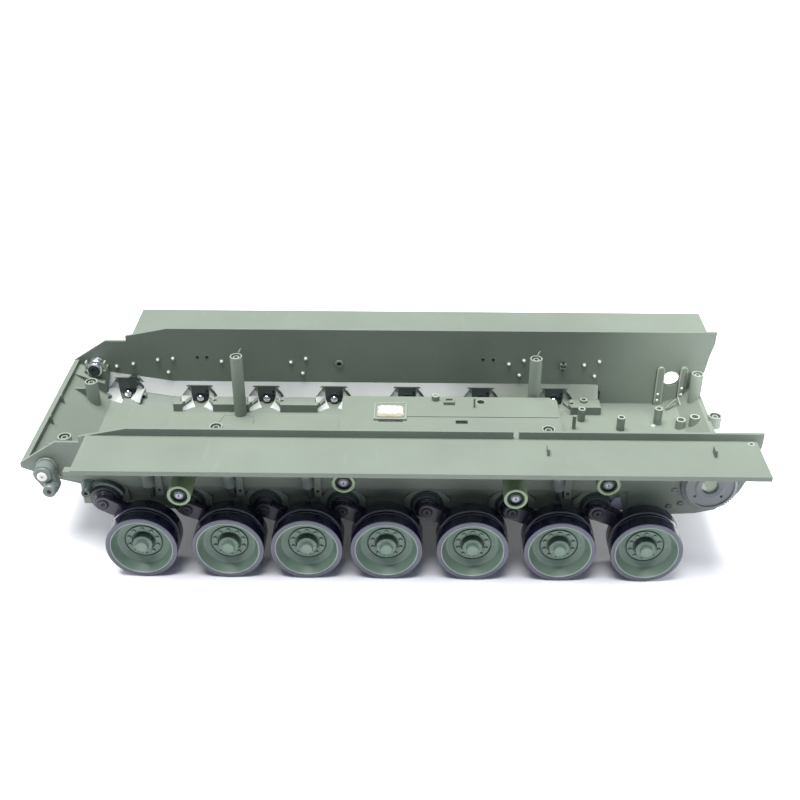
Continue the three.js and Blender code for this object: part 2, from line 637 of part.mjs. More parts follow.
// ---- assembly -----------------------------------------------------------------------
const tank = new THREE.Group();
tank.name = 'tank_chassis';
tank.add(mesh('hull_tub', hullTub(), MATERIALS.hull));
tank.add(mesh('foam_pad', foamPad(), MATERIALS.pad));

for (const station of stations) {
  const tag = `${station.name}_${station.number}`;
  tank.add(mesh(`arm_${tag}`, swingArm(station), MATERIALS.arm));
  tank.add(mesh(`wheel_${tag}`, wheel(station), MATERIALS.wheel));
  tank.add(mesh(`tyre_${tag}`, twinTyre(station), MATERIALS.rubber));
}

for (const side of SIDES) {
  side.rollers.forEach((_, i) => {
    tank.add(mesh(`roller_${side.name}_${i + 1}`, returnRoller(side, i), MATERIALS.roller));
  });
  tank.add(mesh(`idler_crank_${side.name}`, idlerCrank(side), MATERIALS.crank));
  tank.add(mesh(`idler_shaft_${side.name}`, idlerShaft(side), MATERIALS.steel));
  tank.add(mesh(`drive_flange_${side.name}`, driveFlange(side), MATERIALS.flange));
}

export default tank;
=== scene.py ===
"""Looks for the lower hull of a radio-controlled tank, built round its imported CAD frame.

The frame is in metres: -X the nose, +X the stern, +Y the right side, +Z up, ground at z = 0.
Sizes in this file are in millimetres until a mesh is made.
"""

import math
import random

import bmesh
import bpy
from mathutils import Matrix, Vector


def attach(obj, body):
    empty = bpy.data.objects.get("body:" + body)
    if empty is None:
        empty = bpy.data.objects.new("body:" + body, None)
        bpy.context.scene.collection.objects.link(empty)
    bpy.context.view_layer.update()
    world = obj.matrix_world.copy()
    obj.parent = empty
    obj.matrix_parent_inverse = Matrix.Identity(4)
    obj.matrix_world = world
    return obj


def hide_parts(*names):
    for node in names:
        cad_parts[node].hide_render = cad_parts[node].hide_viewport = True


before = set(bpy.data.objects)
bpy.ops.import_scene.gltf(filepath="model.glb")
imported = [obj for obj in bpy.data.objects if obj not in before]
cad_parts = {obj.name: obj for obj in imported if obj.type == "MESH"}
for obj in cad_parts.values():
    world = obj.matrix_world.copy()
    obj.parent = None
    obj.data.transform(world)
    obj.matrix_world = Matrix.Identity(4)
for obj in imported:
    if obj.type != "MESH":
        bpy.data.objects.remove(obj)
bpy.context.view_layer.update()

MM = 0.001
UP = (0, 0, 1)
SIDES = {"left": -1, "right": 1}
STAGGER = {"left": 0.0, "right": -14.0}  # the right side's wheel stations stand nearer the nose
LEFT_WHEEL_X = (-150.25, -97.1, -48.9, 0.0, 52.7, 105.9, 158.75)
ROLLER_X = {"left": (-124.0, -26.3, 77.3, 134.5), "right": (-161.7, -66.0, 89.4, 143.0)}
ROLLER_OUT = (95.0, 80.5, 95.0, 80.5)
ROLLER_IN = (75.0, 70.0, 75.0, 70.0)
DAMPER_X = {"left": (-149.5, -99.0, -50.6, 104.8), "right": (-136.5, -88.0, -38.0, 117.8)}
ROLLER_Z = 60.0
WHEEL_Z = 22.15
WHEEL_IN = 77.1  # a road wheel's face towards the hull
FIRST_ARM = {"reach": 27.0, "pivot_z": 37.5}
OTHER_ARM = {"reach": 28.0, "pivot_z": 34.0}
WALL_OUT = 66.0
WALL_IN = 64.0
FLOOR_Z = 30.5
ROOF_Z = 50.5  # the battery bay's roof
FENDER_Z = 83.7
CRANK = {"x": -210.8, "z": 60.8, "peg_x": -207.1, "peg_z": 51.7}
DRIVE = {"x": 199.5, "z": 51.5}


# ---- materials -----------------------------------------------------------------
def node(tree, kind, **inputs):
    """A new shader node with some of its inputs set."""
    made = tree.nodes.new(kind)
    for name, value in inputs.items():
        made.inputs[name].default_value = value
    return made


def ramp(tree, factor, low, high, dark, light):
    """Two colours with a soft step between low and high."""
    made = tree.nodes.new("ShaderNodeValToRGB")
    made.color_ramp.elements[0].position = low
    made.color_ramp.elements[0].color = (*dark, 1)
    made.color_ramp.elements[1].position = high
    made.color_ramp.elements[1].color = (*light, 1)
    tree.links.new(factor, made.inputs["Fac"])
    return made.outputs["Color"]


def grey_ramp(tree, factor, low, high, dark, light):
    """A ramp between two plain values."""
    return ramp(tree, factor, low, high, (dark,) * 3, (light,) * 3)


def mix(tree, factor, first, second):
    """Two colours, each a socket or a plain triple, mixed by a factor."""
    made = tree.nodes.new("ShaderNodeMix")
    made.data_type = "RGBA"
    tree.links.new(factor, made.inputs["Factor"])
    for socket, value in (("A", first), ("B", second)):
        target = [s for s in made.inputs if s.name == socket and s.type == "RGBA"][0]
        if isinstance(value, tuple):
            target.default_value = (*value, 1)
        else:
            tree.links.new(value, target)
    return [s for s in made.outputs if s.type == "RGBA"][0]


def noise(tree, vector, scale, detail=4.0, roughness=0.55, stretch=None):
    """Cloudy noise over the object, stretched along its axes where stretch says so."""
    if stretch:
        mapping = tree.nodes.new("ShaderNodeMapping")
        mapping.inputs["Scale"].default_value = stretch
        tree.links.new(vector, mapping.inputs["Vector"])
        vector = mapping.outputs["Vector"]
    made = node(tree, "ShaderNodeTexNoise", Scale=scale, Detail=detail, Roughness=roughness)
    tree.links.new(vector, made.inputs["Vector"])
    return made.outputs["Fac"]


def rounded_normal(tree, radius):
    """Shading normals rounded over sharp edges, and a mask that is 1 along those edges."""
    bevel = node(tree, "ShaderNodeBevel", Radius=radius)
    bevel.samples = 6
    flat = tree.nodes.new("ShaderNodeNewGeometry").outputs["True Normal"]
    across = tree.nodes.new("ShaderNodeVectorMath")
    across.operation = "DOT_PRODUCT"
    tree.links.new(bevel.outputs["Normal"], across.inputs[0])
    tree.links.new(flat, across.inputs[1])
    return bevel.outputs["Normal"], grey_ramp(tree, across.outputs["Value"], 0.8, 0.985, 1.0, 0.0)


def moulded(name, colour, rough=(0.4, 0.55), vary=0.12, wear_and_highlight=0.5, grain=0.06, metallic=0.0,
            scuffed=1.0, rounded=0.0, shine=0.5, stern_colour=None):
    """Plastic, rubber or metal: cloudy colour, fine grain, hairline scuffs, edges paler by wear and painted
    highlight.

    rounded is the radius, in metres, that shading gives to sharp edges. stern_colour is the plain
    colour that the object turns to between 30 and 90 mm aft of the middle, so that a colour painted
    as glare fades out towards the stern.
    """
    material = bpy.data.materials.new(name)
    material.use_nodes = True
    tree = material.node_tree
    shader = tree.nodes["Principled BSDF"]
    shader.inputs["Metallic"].default_value = metallic
    shader.inputs["Specular IOR Level"].default_value = shine
    position = tree.nodes.new("ShaderNodeTexCoord").outputs["Object"]

    clouds = noise(tree, position, 22.0, 5.0)
    darker = tuple(c * (1 - vary) for c in colour)
    lighter = tuple(min(1.0, c * (1 + vary)) for c in colour)
    body = ramp(tree, clouds, 0.3, 0.7, darker, lighter)

    if scuffed:
        flow = noise(tree, position, 60.0, 3.0, stretch=(0.18, 1.0, 1.0))
        marks = grey_ramp(tree, flow, 0.58, 0.8, 0.0, vary * scuffed)
        body = mix(tree, marks, body, tuple(min(1.0, c * 1.25 + 0.01) for c in colour))
        scuffs = noise(tree, position, 210.0, 2.0, 0.4, stretch=(1.0, 0.12, 0.6))
        hairlines = grey_ramp(tree, scuffs, 0.68, 0.74, 0.0, 0.16 * wear_and_highlight * scuffed)
        body = mix(tree, hairlines, body, tuple(min(1.0, c * 1.5 + 0.02) for c in colour))

    # Edges turn paler: partly wear, partly a painted highlight along them.
    normal = None
    if rounded:
        normal, edge_mask = rounded_normal(tree, rounded)
        edges = grey_ramp(tree, edge_mask, 0.0, 1.0, 0.0, wear_and_highlight)
    else:
        pointed = tree.nodes.new("ShaderNodeNewGeometry").outputs["Pointiness"]
        edges = grey_ramp(tree, pointed, 0.53, 0.62, 0.0, wear_and_highlight)
    body = mix(tree, edges, body, tuple(min(1.0, c * 1.35 + 0.02) for c in colour))
    # A colour painted as glare gives way to the plain stern_colour towards the stern.
    if stern_colour:
        along = tree.nodes.new("ShaderNodeSeparateXYZ")
        tree.links.new(position, along.inputs[0])
        painted_glare_fade = grey_ramp(tree, along.outputs["X"], 0.03, 0.09, 0.0, 1.0)
        body = mix(tree, painted_glare_fade, body, stern_colour)
    tree.links.new(body, shader.inputs["Base Color"])

    fine = noise(tree, position, 1400.0, 3.0)
    sheen = grey_ramp(tree, noise(tree, position, 130.0, 4.0), 0.3, 0.7, *rough)
    tree.links.new(sheen, shader.inputs["Roughness"])
    bump = node(tree, "ShaderNodeBump", Strength=grain, Distance=0.0004)
    tree.links.new(fine, bump.inputs["Height"])
    if normal:
        tree.links.new(normal, bump.inputs["Normal"])
    tree.links.new(bump.outputs["Normal"], shader.inputs["Normal"])
    return material


HULL_COLOUR = (0.165, 0.193, 0.158)
HULL = moulded("hull_plastic", HULL_COLOUR, rough=(0.4, 0.52), vary=0.05, wear_and_highlight=0.55, grain=0.10,
               rounded=0.0004, shine=0.22)
TRIM = moulded("hull_trim_plastic", HULL_COLOUR, rough=(0.4, 0.52), vary=0.06, grain=0.08, shine=0.22)
# A pale colour painted as the reflection on the steep inner slopes and the pocket scoops.
PAINTED_SHEEN = moulded("hull_painted_sheen_plastic", (0.46, 0.475, 0.455), rough=(0.3, 0.42), vary=0.16, wear_and_highlight=0.4,
                grain=0.08, stern_colour=(0.19, 0.215, 0.172))
MATT = moulded("hull_matt_plastic", (0.19, 0.215, 0.185), rough=(0.68, 0.8), wear_and_highlight=0.3, grain=0.08,
               shine=0.2)
WHEEL = moulded("wheel_plastic", (0.13, 0.19, 0.145), rough=(0.34, 0.5), vary=0.16, wear_and_highlight=0.5, grain=0.08)
# A darker copy of the wheel plastic, painted as shade in the hub's grooves and under its bolts.
WHEEL_SHADE = moulded("wheel_recess_painted_shade", (0.055, 0.082, 0.066), rough=(0.4, 0.5), vary=0.15,
                      wear_and_highlight=0.2)
RIM_EDGE = moulded("wheel_rim_edge", (0.26, 0.31, 0.28), rough=(0.35, 0.5), vary=0.08, wear_and_highlight=0.4)
TREAD = moulded("tyre_tread", (0.005, 0.006, 0.019), rough=(0.2, 0.27), vary=0.1, wear_and_highlight=0.0, grain=0.02,
                scuffed=0.0)
SIDEWALL = moulded("tyre_sidewall", (0.1, 0.105, 0.128), rough=(0.5, 0.65), vary=0.12, wear_and_highlight=0.3)
# The lug's lavender grey is hull plastic painted lighter, as if lit.
LUG_PAINTED_LIGHT = moulded("lug_painted_light", (0.3, 0.29, 0.36), rough=(0.4, 0.5), vary=0.08, wear_and_highlight=0.3)
# Tyre shoulders in a paler rubber colour: painted highlight along the groove edges.
TREAD_HIGHLIGHT = moulded("tyre_shoulder_painted_highlight", (0.1, 0.1, 0.13), rough=(0.16, 0.22), vary=0.1, wear_and_highlight=0.0,
                     grain=0.02)
ARM = moulded("arm_plastic", (0.036, 0.036, 0.058), rough=(0.28, 0.4), vary=0.2, wear_and_highlight=0.35, grain=0.08)
# A darker copy of the arm plastic, painted as shade on the arms' bodies, pivots and axles.
ARM_SHADE = moulded("arm_painted_shade_plastic", (0.01, 0.01, 0.021), rough=(0.22, 0.34), vary=0.2, grain=0.08)
ROLLER = moulded("roller_plastic", (0.12, 0.17, 0.10), rough=(0.36, 0.5), vary=0.08, wear_and_highlight=0.5)
ROLLER_RIM = moulded("roller_rim", (0.2, 0.27, 0.165), rough=(0.36, 0.5), vary=0.08, wear_and_highlight=0.3)
CRANK_PLASTIC = moulded("crank_plastic", (0.12, 0.145, 0.13), rough=(0.36, 0.5), vary=0.06)
FLANGE = moulded("flange_plastic", (0.148, 0.166, 0.168), rough=(0.4, 0.52), vary=0.05)
FOAM = moulded("adhesive_foam", (0.83, 0.82, 0.72), rough=(0.7, 0.9), vary=0.06, wear_and_highlight=0.2, grain=0.6)
FOAM_EDGE = moulded("foam_brown_edge", (0.31, 0.3, 0.2), rough=(0.7, 0.9), vary=0.3, wear_and_highlight=0.2, grain=0.6)
PLATED = moulded("plated_steel", (0.8, 0.81, 0.83), rough=(0.1, 0.2), vary=0.05, wear_and_highlight=0.1, grain=0.03,
                 metallic=1.0)
DULL_STEEL = moulded("dull_steel", (0.3, 0.3, 0.37), rough=(0.38, 0.5), vary=0.2, wear_and_highlight=0.4, metallic=1.0)
BRIGHT_STEEL = moulded("bright_steel", (0.78, 0.77, 0.8), rough=(0.24, 0.36), vary=0.1, wear_and_highlight=0.2,
                       metallic=1.0)
DARK_METAL = moulded("dark_metal", (0.09, 0.085, 0.11), rough=(0.25, 0.4), vary=0.2, wear_and_highlight=0.35,
                     metallic=1.0)
PALE_SCREW = moulded("pale_screw_tip", (0.62, 0.64, 0.6), rough=(0.3, 0.45), vary=0.08, wear_and_highlight=0.3)
PALE_RING = moulded("post_rim_plastic", (0.27, 0.31, 0.25), rough=(0.34, 0.46), vary=0.06, wear_and_highlight=0.3)
# A near-black green painted as shade in the rollers' recesses and on their washers and bosses.
RECESS_SHADE = moulded("recess_painted_shade", (0.018, 0.026, 0.018), rough=(0.6, 0.75), vary=0.15, wear_and_highlight=0.1)
HOLE = moulded("hole_shadow", (0.007, 0.008, 0.008), rough=(0.6, 0.8), vary=0.1, wear_and_highlight=0.0)
# A dark copy of the hull green, painted as shade on parts that sit in shade.
SHADE_PLASTIC = moulded("painted_shade_plastic", (0.03, 0.045, 0.042), rough=(0.34, 0.46), vary=0.12, wear_and_highlight=0.5)


# ---- mesh building ----------------------------------------------------------------
class Shape:
    """Gathers closed shells, in millimetres, into one mesh."""

    def __init__(self):
        self.mesh = bmesh.new()

    def paint(self, count, slot):
        """Gives a material slot to every face made since the mesh had count faces."""
        self.mesh.faces.ensure_lookup_table()
        for face in self.mesh.faces[count:]:
            face.material_index = slot

    def box(self, low, high, slot=0, turn=None):
        """A box between two corners, turned about its middle."""
        count = len(self.mesh.faces)
        size = [b - a for a, b in zip(low, high)]
        centre = Vector([(a + b) / 2 for a, b in zip(low, high)])
        matrix = Matrix.Translation(centre) @ (turn or Matrix.Identity(4)) @ Matrix.Diagonal((*size, 1))
        bmesh.ops.create_cube(self.mesh, size=1.0, matrix=matrix)
        self.paint(count, slot)

    def lathe(self, profile, centre, axis, segments=48, slot=0, slots=None):
        """Turns (radius, distance) pairs about an axis through centre; slots names one per step."""
        ahead = Vector(axis).normalized()
        side = ahead.orthogonal().normalized()
        other = ahead.cross(side)
        rings = []
        for radius, distance in profile:
            middle = Vector(centre) + ahead * distance
            if radius < 1e-6:
                rings.append([self.mesh.verts.new(middle)])
                continue
            angles = [2 * math.pi * k / segments for k in range(segments)]
            rings.append([self.mesh.verts.new(middle + radius * (side * math.cos(a) + other * math.sin(a)))
                          for a in angles])
        for step, (one, two) in enumerate(zip(rings, rings[1:])):
            chosen = slots[step] if slots else slot
            for k in range(segments):
                after = (k + 1) % segments
                if len(one) == 1:
                    corners = (one[0], two[k], two[after])
                elif len(two) == 1:
                    corners = (one[k], two[0], one[after])
                else:
                    corners = (one[k], two[k], two[after], one[after])
                self.mesh.faces.new(corners).material_index = chosen

    def disc(self, centre, axis, radius, height, slot=0, segments=20):
        """A flat disc standing on a point."""
        self.lathe([(0, 0), (radius, 0), (radius, height), (0, height)], centre, axis, segments, slot)

    def rod(self, start, end, radius, slot=0, segments=24):
        """A round bar with chamfered ends."""
        run = Vector(end) - Vector(start)
        length = run.length
        edge = min(0.15, length / 3, radius / 3)
        profile = [(0, 0), (radius - edge, 0), (radius, edge), (radius, length - edge),
                   (radius - edge, length), (0, length)]
        self.lathe(profile, start, run, segments, slot)

    def toothed_ring(self, x, z, bore, root, tip, teeth, y0, y1):
        """A flat ring with square teeth round its edge, of thickness y0 to y1."""
        angles, radii = [], []
        for k in range(teeth):
            for step, radius in ((0.0, root), (0.28, root), (0.36, tip), (0.92, tip)):
                angles.append(2 * math.pi * (k + step) / teeth)
                radii.append(radius)
        loops = []
        bores = [bore] * len(radii)
        for y, reach in ((y0, radii), (y1, radii), (y1, bores), (y0, bores)):
            loops.append([self.mesh.verts.new((x + r * math.cos(a), y, z + r * math.sin(a)))
                          for a, r in zip(angles, reach)])
        for one, two in zip(loops, loops[1:] + loops[:1]):
            for k in range(len(angles)):
                after = (k + 1) % len(angles)
                self.mesh.faces.new((one[k], one[after], two[after], two[k]))

    def ring(self, centre, axis, radius, thick, slot=0, segments=40):
        """A ring of round section."""
        sides = 8
        turns = [2 * math.pi * k / sides for k in range(sides + 1)]
        profile = [(radius + thick * math.cos(turn), thick * math.sin(turn)) for turn in turns]
        self.lathe(profile, centre, axis, segments, slot)

    def hexagon(self, centre, axis, radius, height, slot=0):
        """A hexagon head with its upper edge chamfered."""
        profile = [(0, 0), (radius, 0), (radius, height * 0.8), (radius * 0.86, height), (0, height)]
        self.lathe(profile, centre, axis, 6, slot)

    def dome(self, centre, axis, radius, height, slot=0, segments=20):
        """Half of a flattened ball, standing on its flat face."""
        steps = 5
        turns = [math.pi / 2 * k / steps for k in range(steps)]
        profile = [(radius * math.cos(turn), height * math.sin(turn)) for turn in turns]
        self.lathe([(0, 0), *profile, (0, height)], centre, axis, segments, slot)

    def plate(self, outline, y0, y1, slot=0):
        """An outline in X and Z with thickness along Y."""
        first = [self.mesh.verts.new((x, y0, z)) for x, z in outline]
        second = [self.mesh.verts.new((x, y1, z)) for x, z in outline]
        count = len(self.mesh.faces)
        self.mesh.faces.new(first[::-1])
        self.mesh.faces.new(second)
        for k in range(len(first)):
            after = (k + 1) % len(first)
            self.mesh.faces.new((first[k], first[after], second[after], second[k]))
        self.paint(count, slot)

    def mesh_data(self, name, materials, sharp=38):
        """The mesh in metres, smooth but for edges sharper than an angle in degrees."""
        bmesh.ops.remove_doubles(self.mesh, verts=self.mesh.verts, dist=1e-5)
        bmesh.ops.scale(self.mesh, vec=(MM,) * 3, verts=self.mesh.verts)
        bmesh.ops.recalc_face_normals(self.mesh, faces=self.mesh.faces)
        data = bpy.data.meshes.new(name)
        self.mesh.to_mesh(data)
        self.mesh.free()
        for material in materials:
            data.materials.append(material)
        data.shade_smooth()
        data.set_sharp_from_angle(angle=math.radians(sharp))
        return data


def soften(obj, width):
    """Rounds an object's sharp edges by a width in millimetres."""
    modifier = obj.modifiers.new("soft_edges", "BEVEL")
    modifier.width = width * MM
    modifier.segments = 2
    modifier.limit_method = "ANGLE"
    modifier.angle_limit = math.radians(40)


def place(name, data, body, at=(0, 0, 0), soft=0.0):
    """An object from mesh data, at a place in millimetres, riding on a body."""
    obj = bpy.data.objects.new(name, data)
    bpy.context.scene.collection.objects.link(obj)
    obj.location = Vector(at) * MM
    if soft:
        soften(obj, soft)
    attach(obj, body)
    return obj


def outward(sign):
    """The direction away from the hull's middle, on the side that sign names."""
    return (0, sign, 0)


# ---- the hull ------------------------------------------------------------------------
def hull():
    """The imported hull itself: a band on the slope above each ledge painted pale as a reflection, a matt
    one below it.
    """
    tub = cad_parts["hull_tub"]
    finishes = [HULL, PAINTED_SHEEN, MATT]
    tub.data.materials.clear()
    for finish in finishes:
        tub.data.materials.append(finish)
    tub.data.shade_flat()
    for polygon in tub.data.polygons:
        centre, normal = polygon.center, polygon.normal
        faces_in = normal.y * centre.y < 0 and abs(centre.y) < WALL_IN * MM
        # Painted reflection: the steep inward slopes take the pale colour.
        if faces_in and normal.z > 0.4 and abs(normal.y) > 0.75:
            polygon.material_index = finishes.index(PAINTED_SHEEN)
        elif faces_in and normal.z > 0.7 and abs(normal.y) > 0.3:
            polygon.material_index = finishes.index(MATT)


def smooth_posts():
    """Round skins over the faceted screw posts and bosses, with holes down from their tops.

    Material slots: plastic, pale rim, dark hole.
    """
    shape = Shape()
    skin = 0.08  # how far a skin stands out from the faceted post
    posts = [  # x, y, foot, top, radius
        (-107.9, 45, 30, 77.8, 4.25), (100.3, 45, 30, 77.8, 4.25), (-107.9, -45, 30, 77.8, 4.25),
        (100.3, -45, 30, 77.8, 4.25), (214, 49, 40, 64.4, 4.05), (214, -49, 40, 64.4, 4.05),
        (-208.4, 34.8, 44, 62.5, 4.4), (-208.4, -34.8, 44, 62.5, 4.4), (221.6, 18, 41, 49.5, 4.4)]
    for x, y, foot, top, radius in posts:
        r = radius + skin
        lip = radius - 0.75
        outside = [(radius - 0.3, foot), (r, foot), (r, top - 0.25), (r - 0.2, top + 0.06),
                   (lip, top + 0.06)]
        inside = [(lip - 0.15, top - 0.2), (lip - 0.2, top - 0.9), (2.3, top - 1.0), (2.1, top - 0.7),
                  (1.5, top - 0.7), (1.35, top - 1.0), (1.3, top - 5), (0, top - 5)]
        slots = [0, 0, 0, 1, 0, 0, 2, 0, 1, 0, 0, 0]
        shape.lathe(outside + inside, (x, y, 0), UP, 32, slots=slots)
        floor = [(0, top - 4.9), (1.28, top - 4.9), (1.25, top - 4.8), (0, top - 4.8)]
        shape.lathe(floor, (x, y, 0), UP, 20, 2)
    bosses = [  # x, y, top, radius
        (134.4, 40.8, 40, 2.6), (160.3, 29, 40.7, 2.75), (187.5, 37.2, 43, 2.8), (201.4, 27.7, 40, 3.25),
        (209.6, 23.7, 45, 3.4), (137.5, 56, 38.5, 2.7), (30.9, 34, 54.1, 2.6)]
    for x, y, top, radius in bosses:
        r = radius + skin
        foot = top - 8 if top < ROOF_Z else ROOF_Z - 0.5
        bore = radius - 1.15
        wall = [(radius - 0.3, foot), (r, foot), (r, top - 0.2), (r - 0.2, top + 0.05),
                (bore + 0.15, top + 0.05), (bore, top - 0.2), (bore - 0.1, top - 3), (0, top - 3)]
        shape.lathe(wall, (x, y, 0), UP, 24, slots=[0, 0, 0, 1, 0, 0, 0])
        floor = [(0, top - 2.9), (bore - 0.12, top - 2.9), (bore - 0.15, top - 2.8), (0, top - 2.8)]
        shape.lathe(floor, (x, y, 0), UP, 16, 2)
    place("screw_posts", shape.mesh_data("screw_posts", [TRIM, PALE_RING, HOLE]), "hull")


def hull_flash():
    """Wisps of moulding flash beside the tops of the two far screw posts."""
    shape = Shape()
    for x, y in ((-107.9, 45), (100.3, 45)):
        shape.rod((x + 1.2, y + 3.4, 76.6), (x + 1.8, y + 4.3, 79.8), 0.5, segments=8)
        shape.rod((x + 1.8, y + 4.3, 79.6), (x + 3.0, y + 4.6, 81.2), 0.35, segments=8)
    place("moulding_flash", shape.mesh_data("moulding_flash", [PALE_RING]), "hull")


def wall_fasteners():
    """The screw tips, dark holes and clip on the inner faces of the side walls.

    Places are those of the right side. Material slots: screw, hull, dark hole.
    """
    tips = [(-167.5, 63.9), (-156.6, 65.0), (-160.8, 53.8), (-72.3, 62.8), (-61.5, 65.8), (-64.1, 53.9),
            (83.2, 62.7), (93.7, 65.6), (91.0, 53.7), (136.8, 62.4), (147.3, 65.3), (144.8, 53.4),
            (-197.6, 58.3), (-185.4, 60.5), (-121.9, 63.0)]
    holes = [(-138.9, 66.1), (-132.3, 66.1), (64.7, 66.2), (72.0, 65.9)]
    for name, sign in SIDES.items():
        shape = Shape()
        shift = STAGGER[name] - STAGGER["right"]
        inward = outward(-sign)
        for x, z in tips:
            at = (x + shift, sign * (WALL_IN + 0.2), z)
            shape.lathe([(0, 0), (1.75, 0), (1.75, 0.6), (1.5, 0.85), (0, 0.85)], at, inward, 20, 1)
            shape.dome((at[0], sign * (WALL_IN - 0.5), z), inward, 1.25, 1.5, 0, 16)
        for x, z in holes:
            at = (x + shift, sign * (WALL_IN + 0.2), z)
            shape.disc(at, inward, 1.3, 0.3, 2, 16)
            shape.ring((at[0], sign * (WALL_IN + 0.05), z), inward, 1.35, 0.22, 1, 20)
        at = (-37.8 + shift, sign * (WALL_IN + 0.2), 61.7)
        hub = [(0, 0), (3, 0), (3, 1.0), (2.6, 1.3), (1.7, 1.3), (1.5, 0.5), (0, 0.5)]
        shape.lathe(hub, at, inward, 28, 1)
        shape.disc(at, inward, 1.45, 0.6, 2, 20)
        if name == "right":
            shape.box((119.6, WALL_IN - 2.2, 59.4), (124, WALL_IN + 0.2, 61.0), 1)
            shape.box((119.6, WALL_IN - 2.2, 62.2), (124, WALL_IN + 0.2, 63.6), 1)
            shape.rod((121.8, WALL_IN - 1.3, 58), (121.8, WALL_IN - 1.3, 65), 0.9, 2)
        data = shape.mesh_data(f"wall_fasteners_{name}", [PALE_SCREW, HULL, HOLE])
        place(f"wall_fasteners_{name}", data, "hull")


def stations(name):
    """(number, wheel x, pivot x, pivot z) of each wheel station on one side, from the nose."""
    for number, left_x in enumerate(LEFT_WHEEL_X, 1):
        x = left_x + STAGGER[name]
        arm = FIRST_ARM if number == 1 else OTHER_ARM
        yield number, x, x - arm["reach"], arm["pivot_z"]


def scoop(shape, x, sign, edge, lift):
    """One curved side of the recess round an arm's shaft, from the recess's mouth in to its well."""
    mouth = [(7.5, 63.0, 43.4), (9.3, 61.9, 41.6), (11.2, 60.6, 39.4), (12.9, 59.4, 37.2),
             (12.6, 56.5, 36.5), (12.0, 52.5, 35.6), (11.4, 49.0, 33.6), (10.8, 47.9, 30.9)]
    well = [(6.5, 62.1, 43.2), (6.5, 62.1, 40.8), (6.5, 62.1, 38.2), (6.4, 62.0, 35.6),
            (6.1, 61.4, 33.8), (5.4, 60.0, 32.3), (4.2, 57.0, 31.2), (3.0, 54.0, 30.65)]
    strips = 4
    thick = 0.5
    grid = []
    for (mx, my, mz), (wx, wy, wz) in zip(mouth, well):
        row = []
        for k in range(strips + 1):
            t = k / strips
            bow = math.sin(math.pi * t)
            row.append((mx + (wx - mx) * t - 0.25 * bow,
                        my + (wy - my) * t + 0.5 * bow,
                        mz + (wz - mz) * t - 0.35 * bow))
        grid.append(row)
    new = shape.mesh.verts.new
    front = [[new((x + edge * px, sign * py, pz + lift)) for px, py, pz in row] for row in grid]
    behind = [[new((x + edge * (px + thick), sign * (py + thick), pz + lift - 0.6)) for px, py, pz in row]
              for row in grid]
    rows, columns = len(grid), strips + 1
    count = len(shape.mesh.faces)
    for i in range(rows - 1):
        for k in range(columns - 1):
            for sheet in (front, behind):
                above, below = sheet[i], sheet[i + 1]
                shape.mesh.faces.new((above[k], above[k + 1], below[k + 1], below[k]))
    rim = [(0, k) for k in range(columns)]
    rim += [(i, columns - 1) for i in range(1, rows)]
    rim += [(rows - 1, k) for k in range(columns - 2, -1, -1)]
    rim += [(i, 0) for i in range(rows - 2, 0, -1)]
    for (i, k), (j, m) in zip(rim, rim[1:] + rim[:1]):
        shape.mesh.faces.new((front[i][k], front[j][m], behind[j][m], behind[i][k]))
    shape.paint(count, 0)


def pocket_fittings():
    """Inside the hull, round each arm's shaft: a scooped recess painted pale as a reflection, a well with a
    dark plate painted as shade, a dark strip painted as the shadow along one edge, and small bosses.

    Material slots: plastic painted pale as a reflection, hull plastic, dark plastic painted as shade, hole.
    """
    back = 62.2  # the well's far wall
    for name, sign in SIDES.items():
        shape = Shape()
        inward = outward(-sign)
        for number, _, x, z in stations(name):
            lift = 6.0 if number == 1 else 0.0
            # Painted reflection: both scooped sides take the pale colour.
            for edge in (-1, 1):
                scoop(shape, x, sign, edge, lift)
            # A dark plate and ring on the well's far wall, painted as shade.
            low, high = 31.2 + lift, 43.2 + lift
            well = [(x - 6.4, low), (x + 6.4, low), (x + 6.4, high), (x - 6.4, high)]
            shape.plate(well, sign * (back - 0.25), sign * (back + 0.2), 2)
            shape.ring((x, sign * (back - 0.2), z), inward, 4.1, 0.35, 2, 28)
            shape.disc((x + 4.6, sign * (back - 0.1), z + 1.9), inward, 1.25, 0.6, 3, 16)
            shape.disc((x + 4.9, sign * (back - 0.1), z + 5.3), inward, 1.0, 0.5, 3, 14)
            # A dark strip along the mouth's stern-side edge, painted as its shadow.
            clip = [(7.6, 42.6), (9.6, 41.6), (12.4, 38.0), (13.2, 34.8), (11.6, 36.2), (10.4, 38.6),
                    (8.8, 40.0)]
            shape.plate([(x + dx, height + lift) for dx, height in clip], sign * 58.9, sign * 60.4, 2)
            boss = [(0, 0), (2.4, 0), (2.4, 3.0), (2.1, 3.4), (1.5, 3.4), (1.3, 3.0), (0, 3.0)]
            shape.lathe(boss, (x + 12.4, sign * 57.5, z + 0.9), inward, 22, 1)
            shape.disc((x + 12.4, sign * 54.5, z + 0.9), inward, 1.28, 0.2, 3, 16)
        data = shape.mesh_data(f"pocket_fittings_{name}", [PAINTED_SHEEN, TRIM, SHADE_PLASTIC, HOLE])
        place(f"pocket_fittings_{name}", data, "hull")


def arm_housings():
    """Stepped round bearing housings outside the hull, one behind each swing arm."""
    for name, sign in SIDES.items():
        shape = Shape()
        for _, _, x, z in stations(name):
            profile = [(3.4, 0.2), (10.4, 0.2), (10.4, 0.9), (10.1, 1.2), (9.6, 1.2), (9.4, 1.5),
                       (9.4, 2.2), (9.1, 2.5), (8.75, 2.6), (8.75, 3.45), (3.4, 3.45), (3.4, 0.2)]
            # The housings are in the dark plastic painted as shade.
            shape.lathe(profile, (x, sign * 65.4, z), outward(sign), 40)
        data = shape.mesh_data(f"arm_housings_{name}", [SHADE_PLASTIC])
        place(f"arm_housings_{name}", data, "hull")


